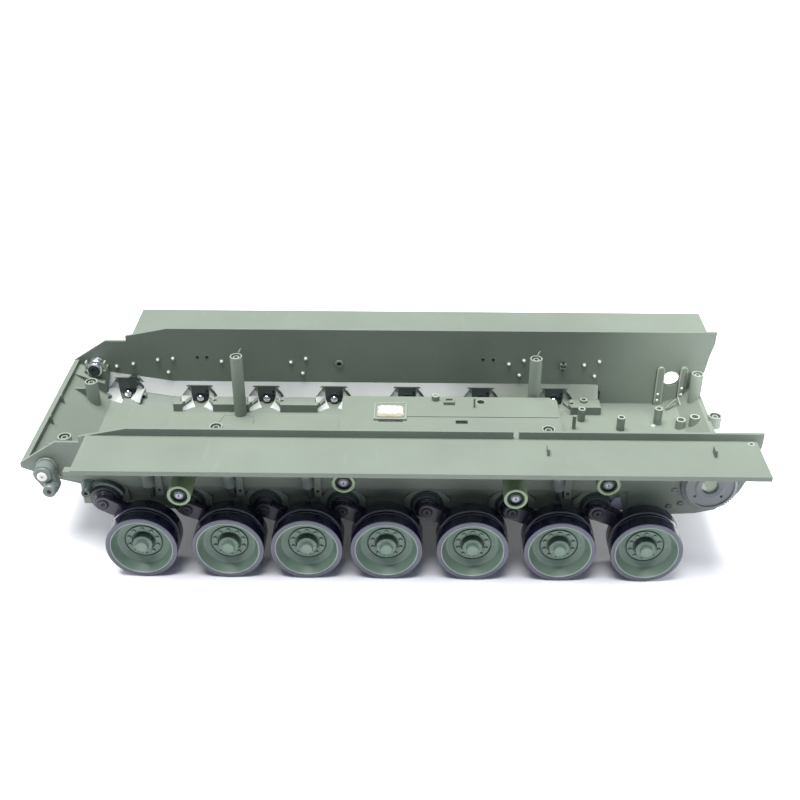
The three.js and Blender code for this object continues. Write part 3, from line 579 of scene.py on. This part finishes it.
def dampers():
    """Shock absorbers on the outer walls, and the holes in the strips beside them."""
    lean = Vector((-0.13, 0, 1)).normalized()
    for name, sign in SIDES.items():
        shape = Shape()
        for x in DAMPER_X[name]:
            y = sign * (WALL_OUT + 2.6)
            foot = Vector((x + 1.4, y, 48.9))
            sleeve = [(0, 0), (3.3, 0), (3.9, 0.6), (3.9, 7), (4.1, 7.3), (4.1, 9.8), (3.9, 10.1),
                      (3.9, 34.0), (0, 34.0)]
            shape.lathe(sleeve, foot, lean, 32)
            # The rod below the sleeve and its ring are in the dark plastic painted as shade.
            shape.lathe([(0, -8.2), (1.9, -8.2), (1.9, 0.3), (0, 0.3)], foot, lean, 24, 1)
            shape.ring(foot - 4.4 * lean, lean, 1.9, 0.35, 1, 20)
            for dx, z in ((6.8, 57), (7.3, 45.5)):
                shape.disc((x + dx, sign * (WALL_OUT + 2.7), z), outward(sign), 0.9, 0.25, 2, 16)
        data = shape.mesh_data(f"dampers_{name}", [CRANK_PLASTIC, SHADE_PLASTIC, HOLE])
        place(f"dampers_{name}", data, "hull")


def stern_details():
    """Ribs, screws and holes round the final drive, and the lug above the last wheel.

    Material slots: hull plastic, screw, hole, dark plastic, pale edge, lug painted lighter as if lit.
    """
    shape = Shape()
    crown = 59.3  # the middle of the rim's round top
    for sign in SIDES.values():
        inward = outward(-sign)
        face = sign * (WALL_OUT - 4.45)
        near, far = sorted((face, face + sign * 0.9))
        for x, foot in ((191.6, 31), (208, 36)):
            turns = [(2.75, turn) for turn in range(0, 181, 15)]
            turns += [(2.0, turn) for turn in range(180, -1, -15)]
            rim = [(x + r * math.cos(math.radians(turn)), crown + r * math.sin(math.radians(turn)))
                   for r, turn in turns]
            shape.plate(rim, face, face + sign * 0.9, 4)
            for edge in (-1, 1):
                low, high = sorted((x + edge * 2.0, x + edge * 2.75))
                shape.box((low, near, foot + 2), (high, far, crown), 4)
            for z in (foot + 4, foot + 9):
                shape.dome((x - 0.4, face, z), inward, 1.05, 0.7, 1, 14)
        for x, z in ((178.5, 46.9), (183.4, 36.7), (176.4, 34.5)):
            y = sign * (WALL_OUT - 0.1)
            head = [(0, 0), (2.0, 0), (2.0, 0.5), (1.7, 0.8), (0, 0.8)]
            shape.lathe(head, (x, y, z), outward(sign), 20, 3)
            low, high = sorted((y, y + sign * 0.9))
            shape.box((x - 1.5, low, z - 0.22), (x + 1.5, high, z + 0.22), 2)
        # Painted light: the lug's colour is lighter than the hull's, as if lit.
        lug = [(142.1, 41.6), (138.9, 36.0), (145.5, 32.0), (147.5, 32.5), (145.0, 41.6)]
        shape.plate(lug, sign * 62.5, sign * 67.0, 5)
    # The left side's last recess ends behind the lug.
    recess_end = [(145.0, 43.6), (145.0, 31.0), (150.6, 31.0), (150.6, 43.6)]
    shape.plate(recess_end, -63.6, -65.2, 0)
    corner_hole = (219.4, -68.8, FENDER_Z - 0.05)
    shape.disc(corner_hole, UP, 0.9, 0.17, 2, 16)
    shape.lathe([(1.0, 0), (2.2, 0), (2.0, 0.3), (1.2, 0.3), (1.0, 0)], corner_hole, UP, 24, 4)
    shape.dome((184.0, 33.4, FLOOR_Z), UP, 2.2, 1.6, 4)
    shape.rod((204.2, 56, 41), (207.5, 50, 33), 0.6, 4, 10)
    shape.rod((196, 52, 34), (203, 55, 40), 0.8, 0, 10)
    data = shape.mesh_data("stern_details", [TRIM, PALE_SCREW, HOLE, CRANK_PLASTIC, PALE_RING, LUG_PAINTED_LIGHT])
    place("stern_details", data, "hull", soft=0.12)


def floor_details():
    """Raised lines and small fittings on the tub's floor and the battery bay's roof.

    Material slots: hull plastic, hole, pale edge, dark metal.
    """
    shape = Shape()
    z = FLOOR_Z + 0.05
    path = [(-122.5, 32.0), (-119.6, 42.0), (-118.6, 43.6), (-103.6, 43.0), (-98.2, 41.8), (-97.6, 32.5)]
    for (x0, y0), (x1, y1) in zip(path, path[1:]):
        shape.rod((x0, y0, z), (x1, y1, z), 0.42, 0, 8)
    hole = (62.3, 31.3)
    shape.disc((*hole, ROOF_Z - 2.1), UP, 2.6, 0.2, 1, 24)
    shape.ring((*hole, ROOF_Z), UP, 2.95, 0.32, 2, 28)
    shape.box((44.3, 3.3, ROOF_Z - 2.2), (52.2, 7.3, ROOF_Z - 1.6), 1)
    shape.box((-8, 5.0, ROOF_Z), (8.4, 5.9, ROOF_Z + 0.5), 3)
    pad_frame = ((-11.2, 6.3, 10.9, 6.9), (-11.2, 26.8, 10.9, 27.4), (-11.2, 6.3, -10.6, 27.4),
                 (10.3, 6.3, 10.9, 27.4))
    for x0, y0, x1, y1 in pad_frame:
        shape.box((x0, y0, ROOF_Z), (x1, y1, ROOF_Z + 1.55), 2)
    data = shape.mesh_data("floor_details", [TRIM, HOLE, PALE_RING, DARK_METAL])
    place("floor_details", data, "hull", soft=0.1)


def foam_pad():
    """The torn foam pad: a ragged outline, brown sides and near and stern edges, and a crumpled white top.

    Material slots: foam, brown edge.
    """
    rng = random.Random(7)
    middle = 15.9
    half_x, half_y = 9.6, 7.3
    count = 72
    outline = []
    for k in range(count):
        angle = 2 * math.pi * k / count
        reach = 1 / max(abs(math.cos(angle)) / half_x, abs(math.sin(angle)) / half_y)
        outline.append((min(reach, 10.9) * rng.uniform(0.9, 1.0), angle))
    base = ROOF_Z + 1.25
    shape = Shape()
    steps = [  # share of the outline's reach, height, material slot
        (1.0, 0.0, 1), (1.0, 0.4, 1), (0.95, 0.55, 1), (0.9, 0.75, 0), (0.84, 1.05, 0), (0.7, 1.15, 0),
        (0.5, 1.0, 0), (0.25, 1.15, 0)]
    rings = []
    for index, (share, height, _) in enumerate(steps):
        ring = []
        for reach, angle in outline:
            torn = share * reach * (rng.uniform(0.95, 1.03) if index > 1 else 1.0)
            lift = rng.uniform(-0.16, 0.16) if index > 2 else 0.0
            ring.append(shape.mesh.verts.new((torn * math.cos(angle), middle + torn * math.sin(angle),
                                              base + height + lift)))
        rings.append(ring)
    for (one, two), (_, _, slot) in zip(zip(rings, rings[1:]), steps):
        for k in range(count):
            after = (k + 1) % count
            shape.mesh.faces.new((one[k], one[after], two[after], two[k])).material_index = slot
    shape.mesh.faces.new(rings[-1])
    shape.mesh.faces.new(rings[0][::-1]).material_index = 1
    for face in shape.mesh.faces:
        spot = face.calc_center_median()
        near_edge = spot.y < middle - 3.4 + 0.8 * math.sin(1.3 * spot.x)
        stern_edge = spot.x > 8.2 + 0.6 * math.sin(2.1 * spot.y)
        if near_edge or stern_edge:
            face.material_index = 1
    data = shape.mesh_data("torn_foam_pad", [FOAM, FOAM_EDGE])
    pad = place("torn_foam_pad", data, "hull")
    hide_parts("foam_pad")


# ---- running gear ---------------------------------------------------------------------
def link_outline(ax, az, ar, bx, bz, br):
    """The outline of a link with two round ends, of radius ar and br."""
    steps = 14
    heading = math.atan2(bz - az, bx - ax)
    lean = math.acos((ar - br) / math.hypot(bx - ax, bz - az))
    points = []
    for k in range(steps + 1):
        angle = heading + lean + (2 * math.pi - 2 * lean) * k / steps
        points.append((ax + ar * math.cos(angle), az + ar * math.sin(angle)))
    for k in range(steps + 1):
        angle = heading - lean + 2 * lean * k / steps
        points.append((bx + br * math.cos(angle), bz + br * math.sin(angle)))
    return points


def socket_screw(shape, centre, axis, radius, slot, hole):
    """A cap screw on a washer, with a hexagon socket."""
    profile = [(0, 0), (radius * 1.45, 0), (radius * 1.45, 0.35), (radius * 1.3, 0.5), (radius * 1.05, 0.5),
               (radius, 0.6), (radius, 1.3), (radius * 0.9, 1.5), (radius * 0.55, 1.5),
               (radius * 0.5, 1.3), (0, 1.3)]
    shape.lathe(profile, centre, axis, 32, slot)
    at = Vector(centre) + Vector(axis) * 1.22
    shape.hexagon(tuple(at), axis, radius * 0.5, 0.12, hole)


def swing_arm_data(name, sign, arm):
    """A swing arm from its pivot, at the mesh's origin, to its axle.

    Material slots: body, pivot and axle in a darker copy of the arm plastic, painted as shade; screw,
    hole, shaft end, face plate.
    """
    shape = Shape()
    out = outward(sign)
    centre = (0, 0, 0)
    dx, dz = arm["reach"], WHEEL_Z - arm["pivot_z"]
    shape.plate(link_outline(0, 0, 5.6, dx, dz, 4.9), sign * 69.4, sign * 73.2)
    shape.plate(link_outline(0, 0, 5.0, dx, dz, 4.3), sign * 73.0, sign * 73.9, 4)
    pivot = [(0, 60.2), (3.0, 60.2), (3.0, 68.9), (7.3, 69.1), (7.5, 69.3), (7.5, 69.8), (7.3, 70.0),
             (6.9, 70.05), (6.8, 70.2), (6.8, 70.8), (6.6, 71.0), (6.2, 71.05), (6.1, 71.2), (6.1, 71.9),
             (5.9, 72.1), (0, 72.1)]
    shape.lathe(pivot, centre, out, 40)
    axle = [(0, 68.9), (4.9, 68.9), (5.2, 69.2), (5.2, 74.9), (4.9, 75.3), (4.2, 76.6), (2.5, 76.7),
            (2.5, 91.4), (0, 91.4)]
    shape.lathe(axle, (dx, 0, dz), out, 32)
    shape.lathe([(0, 73.7), (3.6, 73.7), (3.6, 73.97), (0, 73.97)], centre, out, 32, 2)
    screw = [(0, 73.9), (2.7, 73.9), (2.7, 74.4), (2.45, 74.65), (1.5, 74.65), (1.3, 74.3), (0, 74.3)]
    shape.lathe(screw, centre, out, 32, 1)
    shape.hexagon((0, sign * 74.25, 0), out, 1.25, 0.12, 2)
    shape.dome((0, sign * 60.3, 0), outward(-sign), 2.7, 1.6, 3)
    return shape.mesh_data(name, [ARM_SHADE, ARM, HOLE, PLATED, ARM])


def swing_arms():
    """The swing arms: the first on each side has a mesh of its own, the other six share one."""
    for name, sign in SIDES.items():
        first = swing_arm_data(f"front_swing_arm_{name}", sign, FIRST_ARM)
        other = swing_arm_data(f"swing_arm_{name}", sign, OTHER_ARM)
        for number, _, pivot_x, pivot_z in stations(name):
            data = first if number == 1 else other
            arm = place(f"swing_arm_{name}_{number}", data, f"suspension_arm_{name}_{number}",
                        (pivot_x, 0, pivot_z), soft=0.25)
            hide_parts(f"arm_{name}_{number}")


def wheel_disc_data(name, sign):
    """The dished road wheel on its centre line, with a bolted hub.

    Material slots: disc, rim edge, dark plastic painted as shade in the grooves round the hub and under the
    bolts.
    """
    shape = Shape()
    out = outward(sign)
    profile = [(2.8, 4.2), (6.2, 4.2), (6.4, 4.4), (6.4, 6.6), (8.2, 8.0), (15.2, 8.6), (17.0, 6.0),
               (17.6, 0.6), (18.2, 0.3), (19.3, 0.3), (19.5, 0.5), (19.5, 20.2), (19.35, 20.45),
               (18.95, 20.45), (18.75, 20.2), (18.35, 18.4), (16.5, 14.9), (16.0, 14.3), (15.5, 14.1),
               (15.1, 14.15), (14.7, 14.0), (14.3, 13.7), (12.1, 13.1), (11.9, 12.9), (11.75, 12.0),
               (11.2, 12.0), (11.05, 13.15), (7.4, 13.05), (7.0, 12.4), (6.3, 12.4), (6.15, 16.6),
               (5.85, 17.0), (4.3, 17.1), (3.9, 17.3), (3.8, 17.7), (3.6, 19.5), (3.3, 19.85), (0, 19.9)]
    slots = [0] * (len(profile) - 1)
    for step in (11, 12, 13):
        slots[step] = 1
    # Painted shade: the grooves round the hub take the dark colour.
    for step in (23, 24, 25, 27, 28, 29):
        slots[step] = 2
    shape.lathe(profile, (0, sign * WHEEL_IN, 0), out, 72, slots=slots)
    face, crown = sign * (WHEEL_IN + 13.0), sign * (WHEEL_IN + 16.95)
    for k in range(10):
        angle = 2 * math.pi * (k + 0.5) / 10
        bolt = (9.15 * math.cos(angle), face, 9.15 * math.sin(angle))
        # A dark disc painted as the shadow under each bolt.
        shape.disc(bolt, out, 1.45, 0.14, 2, 14)
        shape.hexagon(bolt, out, 1.1, 0.95)
    for k in range(8):
        angle = 2 * math.pi * k / 8
        shape.hexagon((4.95 * math.cos(angle), crown, 4.95 * math.sin(angle)), out, 0.5, 0.4)
    return shape.mesh_data(name, [WHEEL, RIM_EDGE, WHEEL_SHADE], sharp=32)


def twin_tyre_data(name, sign):
    """Two rubber tyres on one drum; material slots: tread, side wall, shoulder painted paler as a
    highlight.
    """
    shape = Shape()
    outer = [(19.55, 10.4), (21.0, 10.5), (21.55, 10.7), (21.95, 11.1), (22.12, 11.6), (22.15, 12.2),
             (22.15, 19.6), (22.05, 20.1), (21.8, 20.45), (21.4, 20.58), (19.9, 20.6), (19.6, 20.5),
             (19.55, 20.2), (19.55, 10.4)]
    slots = [0, 0, 0, 2, 2, 0, 0, 1, 1, 1, 1, 1, 0]
    shape.lathe(outer, (0, sign * WHEEL_IN, 0), outward(sign), 80, slots=slots)
    inner = [(19.55, 0.2), (19.7, 0.02), (21.4, 0.05), (21.9, 0.3), (22.15, 0.8), (22.15, 7.6),
             (22.12, 8.1), (21.95, 8.6), (21.55, 9.0), (21.0, 9.2), (19.55, 9.3), (19.55, 0.2)]
    slots = [1, 1, 1, 0, 0, 0, 2, 2, 0, 0, 0]
    shape.lathe(inner, (0, sign * WHEEL_IN, 0), outward(sign), 80, slots=slots)
    return shape.mesh_data(name, [TREAD, SIDEWALL, TREAD_HIGHLIGHT], sharp=50)


def road_wheels():
    """A wheel and a twin tyre at each station, from one mesh of each on each side."""
    for name, sign in SIDES.items():
        disc = wheel_disc_data(f"wheel_disc_{name}", sign)
        tyre = twin_tyre_data(f"twin_tyre_{name}", sign)
        for number, x, _, _ in stations(name):
            body = f"road_wheel_{name}_{number}"
            wheel = place(f"road_wheel_{name}_{number}", disc, body, (x, 0, WHEEL_Z))
            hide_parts(f"wheel_{name}_{number}")
            rubber = place(f"twin_tyre_{name}_{number}", tyre, body, (x, 0, WHEEL_Z))
            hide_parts(f"tyre_{name}_{number}")


def return_rollers():
    """Barrel rollers with a pale rim round a recess painted dark as shade; their screws and bosses are on
    the hull.

    Material slots: roller, rim, recess painted as shade, and for the screws: steel, hole, washer and boss
    painted as shade.
    """
    for name, sign in SIDES.items():
        out = outward(sign)
        screws = Shape()
        for number, (x, foot, end) in enumerate(zip(ROLLER_X[name], ROLLER_IN, ROLLER_OUT), 1):
            length = end - foot
            shape = Shape()
            profile = [(2.7, 0.3), (6.6, 0.3), (7.0, 0.6), (7.2, 1.0), (7.2, length - 0.6),
                       (7.0, length - 0.15), (6.6, length), (5.5, length), (5.2, length - 0.3),
                       (5.0, length - 1.2), (4.9, length - 2.6), (2.7, length - 2.6), (2.7, 0.3)]
            # Painted shade: the steps into the roller's end recess take the dark colour.
            slots = [0, 0, 0, 0, 0, 1, 1, 1, 0, 2, 2, 2]
            shape.lathe(profile, (0, sign * foot, 0), out, 56, slots=slots)
            if length > 15:
                for at in (3.0, 5.0):
                    shape.ring((0, sign * (foot + at), 0), out, 7.15, 0.3, 0, 48)
            title = f"return_roller_{name}_{number}"
            data = shape.mesh_data(title, [ROLLER, ROLLER_RIM, RECESS_SHADE], sharp=40)
            roller = place(title, data, title, (x, 0, ROLLER_Z))
            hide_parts(f"roller_{name}_{number}")
            face = sign * (end - 1.3)
            washer = [(0, -1.0), (3.6, -1.0), (3.6, -0.55), (2.6, -0.45), (0, -0.45)]
            screws.lathe(washer, (x, face, ROLLER_Z), out, 28, 2)
            head = [(0, -0.6), (2.15, -0.6), (2.15, 0.5), (1.9, 0.9), (1.3, 1.15), (0.75, 1.2),
                    (0.65, 0.9), (0, 0.9)]
            screws.lathe(head, (x, face, ROLLER_Z), out, 28, 0)
            screws.hexagon((x, face + sign * 0.86, ROLLER_Z), out, 0.6, 0.1, 1)
            boss = [(0, 65.6), (8.2, 65.6), (8.2, 66.6), (7.8, 67.0), (5.4, 67.2), (5.2, foot - 0.5),
                    (0, foot - 0.5)]
            screws.lathe(boss, (x, 0, ROLLER_Z), out, 32, 2)
        data = screws.mesh_data(f"roller_screws_{name}", [DULL_STEEL, HOLE, RECESS_SHADE])
        place(f"roller_screws_{name}", data, "hull")


def idler_tensioners():
    """The cranked idler mounts in front, outside the walls, and the bright shaft clamps inside.

    Material slots: crank plastic, pale screw, hole, screw's cross, and for the clamp: steel,
    dark metal, dark plastic painted as shade at its inner end, hole, side tabs.
    """
    x, z = CRANK["x"], CRANK["z"]
    px, pz = CRANK["peg_x"], CRANK["peg_z"]
    for name, sign in SIDES.items():
        out = outward(sign)
        shape = Shape()
        barrel = [(0, 66.35), (6.7, 66.35), (6.8, 66.8), (6.6, 67.4), (6.2, 67.7), (5.6, 67.9),
                  (5.55, 76.2), (5.3, 77.0), (4.7, 77.4), (3.4, 77.5), (0, 77.5)]
        shape.lathe(barrel, (x, 0, z), out, 44)
        shape.plate(link_outline(x, z, 6.2, px, pz, 4.7), sign * 70.2, sign * 75.6)
        peg = [(0, 70.0), (4.4, 70.0), (4.8, 70.4), (4.8, 76.2), (4.5, 76.6), (4.3, 76.8), (4.2, 80.5),
               (3.9, 81.0), (2.2, 81.0), (2.0, 80.8), (0, 80.8)]
        shape.lathe(peg, (px, 0, pz), out, 36)
        shape.hexagon((px, sign * 80.75, pz), out, 1.5, 0.14, 2)
        head = [(0, 77.3), (3.1, 77.3), (3.1, 77.95), (2.8, 78.2), (1.2, 78.25), (1.0, 78.0), (0, 78.0)]
        shape.lathe(head, (x, 0, z), out, 32, 1)
        y = sign * 78.1
        for turn in (0.5, 0.5 + math.pi / 2):
            shape.box((x - 1.3, y - 0.12, z - 0.25), (x + 1.3, y + 0.12, z + 0.25), 3,
                      Matrix.Rotation(turn, 4, "Y"))
        data = shape.mesh_data(f"idler_crank_{name}", [CRANK_PLASTIC, PALE_SCREW, HOLE, FOAM_EDGE])
        crank = place(f"idler_crank_arm_{name}", data, f"idler_tensioner_{name}", soft=0.3)
        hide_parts(f"idler_crank_{name}")

        shaft = Shape()
        profile = [(0, 63.6), (5.0, 63.6), (5.3, 63.2), (5.3, 62.3), (4.6, 61.9), (4.6, 61.4),
                   (5.4, 61.0), (5.4, 57.6), (5.1, 57.2), (5.1, 56.6), (5.4, 56.2), (5.4, 53.0),
                   (5.0, 52.5), (4.3, 52.2), (4.1, 52.0), (0, 52.0)]
        # The clamp's inner end takes the dark plastic, painted as shade.
        shaft.lathe(profile, (x, 0, z), out, 44, slots=[0] * 13 + [2] * 2)
        shaft.disc((x - 0.8, sign * 52.02, z + 0.9), outward(-sign), 1.1, 0.1, 3, 20)
        y = sign * 57.5
        for reach in (-6.6, 6.6):
            shaft.box((x + reach - 0.45, y - 2.2, z - 1.5), (x + reach + 0.45, y + 2.2, z + 4.6), 4)
        shaft.rod((x, sign * 63, z), (x, sign * 71.5, z), 2.8, 0)
        socket_screw(shaft, (x + 2.0, sign * 54.6, z + 4.2), (0.42, 0, 0.91), 1.0, 0, 1)
        finishes = [BRIGHT_STEEL, DARK_METAL, SHADE_PLASTIC, HOLE, PALE_RING]
        data = shaft.mesh_data(f"idler_shaft_{name}", finishes)
        clamp = place(f"idler_clamp_{name}", data, f"idler_tensioner_{name}")
        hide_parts(f"idler_shaft_{name}")


def drive_flanges():
    """The final drive's covers: a toothed ring, a stepped disc and two screw holes."""
    x, z = DRIVE["x"], DRIVE["z"]
    for name, sign in SIDES.items():
        shape = Shape()
        bore = 5.3 if name == "left" else 6.7
        profile = [(bore, 66.4), (16.6, 66.4), (16.6, 68.3), (16.3, 68.6), (15.9, 68.6), (15.7, 68.9),
                   (15.6, 69.3), (15.2, 69.5), (14.6, 69.5), (14.4, 69.3), (14.3, 68.7), (9.2, 68.6),
                   (9.0, 68.9), (8.6, 69.0), (7.4, 68.9), (6.9, 68.7), (bore, 68.4), (bore, 66.4)]
        shape.toothed_ring(x, z, 14.0, 16.9, 17.9, 64, sign * 66.4, sign * 67.9)
        shape.lathe(profile, (x, 0, z), outward(sign), 72)
        for dx in (-8.7, 7.6):
            shape.disc((x + dx, sign * 68.45, z - 7.1), outward(sign), 0.95, 0.25, 1, 18)
        data = shape.mesh_data(f"drive_flange_{name}", [FLANGE, HOLE])
        cover = place(f"final_drive_cover_{name}", data, "hull", soft=0.08)
        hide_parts(f"drive_flange_{name}")


def front_fittings():
    """The tube peg's socket in front of the first swing arm, and the arched guard over that arm."""
    x, z = -186.5, 46.8
    for name, sign in SIDES.items():
        shape = Shape()
        socket = [(0, 61), (4.4, 61), (4.4, 66.8), (4.0, 67.2), (2.9, 67.4), (2.9, 75.3), (2.7, 75.6),
                  (1.7, 75.6), (1.5, 75.3), (1.4, 72.0), (0, 72.0)]
        shape.lathe(socket, (x, 0, z), outward(sign), 32)
        shape.disc((x, sign * 72.1, z), outward(sign), 1.38, 0.1, 1, 16)
        pivot_x, pivot_z = LEFT_WHEEL_X[0] + STAGGER[name] - FIRST_ARM["reach"], FIRST_ARM["pivot_z"]
        turns = [math.radians(20 + 17.5 * k) for k in range(9)]
        arch = [(pivot_x + 13.6 * math.cos(turn), pivot_z + 13.6 * math.sin(turn)) for turn in turns]
        arch += [(pivot_x + 11.6 * math.cos(turn), pivot_z + 11.6 * math.sin(turn)) for turn in turns[::-1]]
        shape.plate(arch, sign * 65.5, sign * 69.6, 0)
        # The socket and the arched guard are in the dark plastic painted as shade.
        data = shape.mesh_data(f"front_fittings_{name}", [SHADE_PLASTIC, HOLE])
        place(f"front_fittings_{name}", data, "hull", soft=0.15)


hull()
smooth_posts()
hull_flash()
wall_fasteners()
pocket_fittings()
arm_housings()
dampers()
stern_details()
floor_details()
front_fittings()
foam_pad()
swing_arms()
road_wheels()
return_rollers()
idler_tensioners()
drive_flanges()


# ---- stage --------------------------------------------------------------------------------
def stage():
    """A wide pale floor."""
    floor = bpy.data.meshes.new("studio_floor")
    reach = 6.0
    corners = [(-reach, -reach, 0), (reach, -reach, 0), (reach, reach, 0), (-reach, reach, 0)]
    floor.from_pydata(corners, [], [(0, 1, 2, 3)])
    obj = bpy.data.objects.new("studio_floor", floor)
    bpy.context.scene.collection.objects.link(obj)
    material = bpy.data.materials.new("studio_white")
    material.use_nodes = True
    tree = material.node_tree
    shader = tree.nodes["Principled BSDF"]
    shader.inputs["Roughness"].default_value = 0.9
    clouds = noise(tree, tree.nodes.new("ShaderNodeTexCoord").outputs["Object"], 3.0)
    colour = ramp(tree, clouds, 0.3, 0.7, (0.78, 0.775, 0.8), (0.8, 0.795, 0.82))
    tree.links.new(colour, shader.inputs["Base Color"])
    floor.materials.append(material)


def lamp(name, kind, energy, location, size, aim=(0, 0, 0.04), colour=(1, 1, 1)):
    """A lamp aimed at a point; size is an angle in degrees, or a softbox's (width, height) in metres."""
    data = bpy.data.lights.new(name, kind)
    data.energy = energy
    data.color = colour
    if kind == "AREA":
        data.shape = "RECTANGLE"
        data.size, data.size_y = size
    elif kind == "SUN":
        data.angle = math.radians(size)
    else:
        data.spot_size = math.radians(size)
        data.spot_blend = 1.0
        data.shadow_soft_size = 0.03
    obj = bpy.data.objects.new(name, data)
    obj.location = location
    obj.rotation_euler = (Vector(aim) - Vector(location)).to_track_quat("-Z", "Y").to_euler()
    bpy.context.scene.collection.objects.link(obj)


def lighting():
    """A pale sky, a broad light overhead, a weak softbox in front, and fills at the stern and nose."""
    world = bpy.data.worlds.new("studio_air")
    world.use_nodes = True
    background = world.node_tree.nodes["Background"]
    background.inputs["Color"].default_value = (0.76, 0.87, 1.14, 1)
    background.inputs["Strength"].default_value = 0.26
    bpy.context.scene.world = world
    lamp("overhead_sun", "SUN", 7.6, (-0.19, 0.0, 2.0), 40)
    lamp("front_softbox", "AREA", 0.8, (0.0, -0.95, 0.6), (0.9, 0.12), colour=(0.85, 0.88, 1.0))
    lamp("stern_glow", "SPOT", 7.5, (0.24, -0.3, 0.3), 26, aim=(0.232, 0.064, 0.078))
    for end, side, power in (("stern", 1, 2.1), ("nose", -1, 1.4)):
        lamp(f"{end}_floor_fill", "SPOT", power, (side * 0.36, -0.06, 0.05), 70,
             aim=(side * 0.2, -0.04, 0.0))


def camera():
    """The camera, in front and above, a little to the stern side."""
    data = bpy.data.cameras.new("photo_camera")
    data.sensor_width = 36
    data.lens = 51.42
    data.clip_end = 50
    obj = bpy.data.objects.new("photo_camera", data)
    obj.location = (0.01755, -0.64596, 0.46416)
    obj.rotation_euler = (math.radians(58.66), 0, math.radians(0.96))
    bpy.context.scene.collection.objects.link(obj)
    bpy.context.scene.camera = obj


stage()
lighting()
camera()
bpy.context.scene.view_settings.view_transform = "Standard"
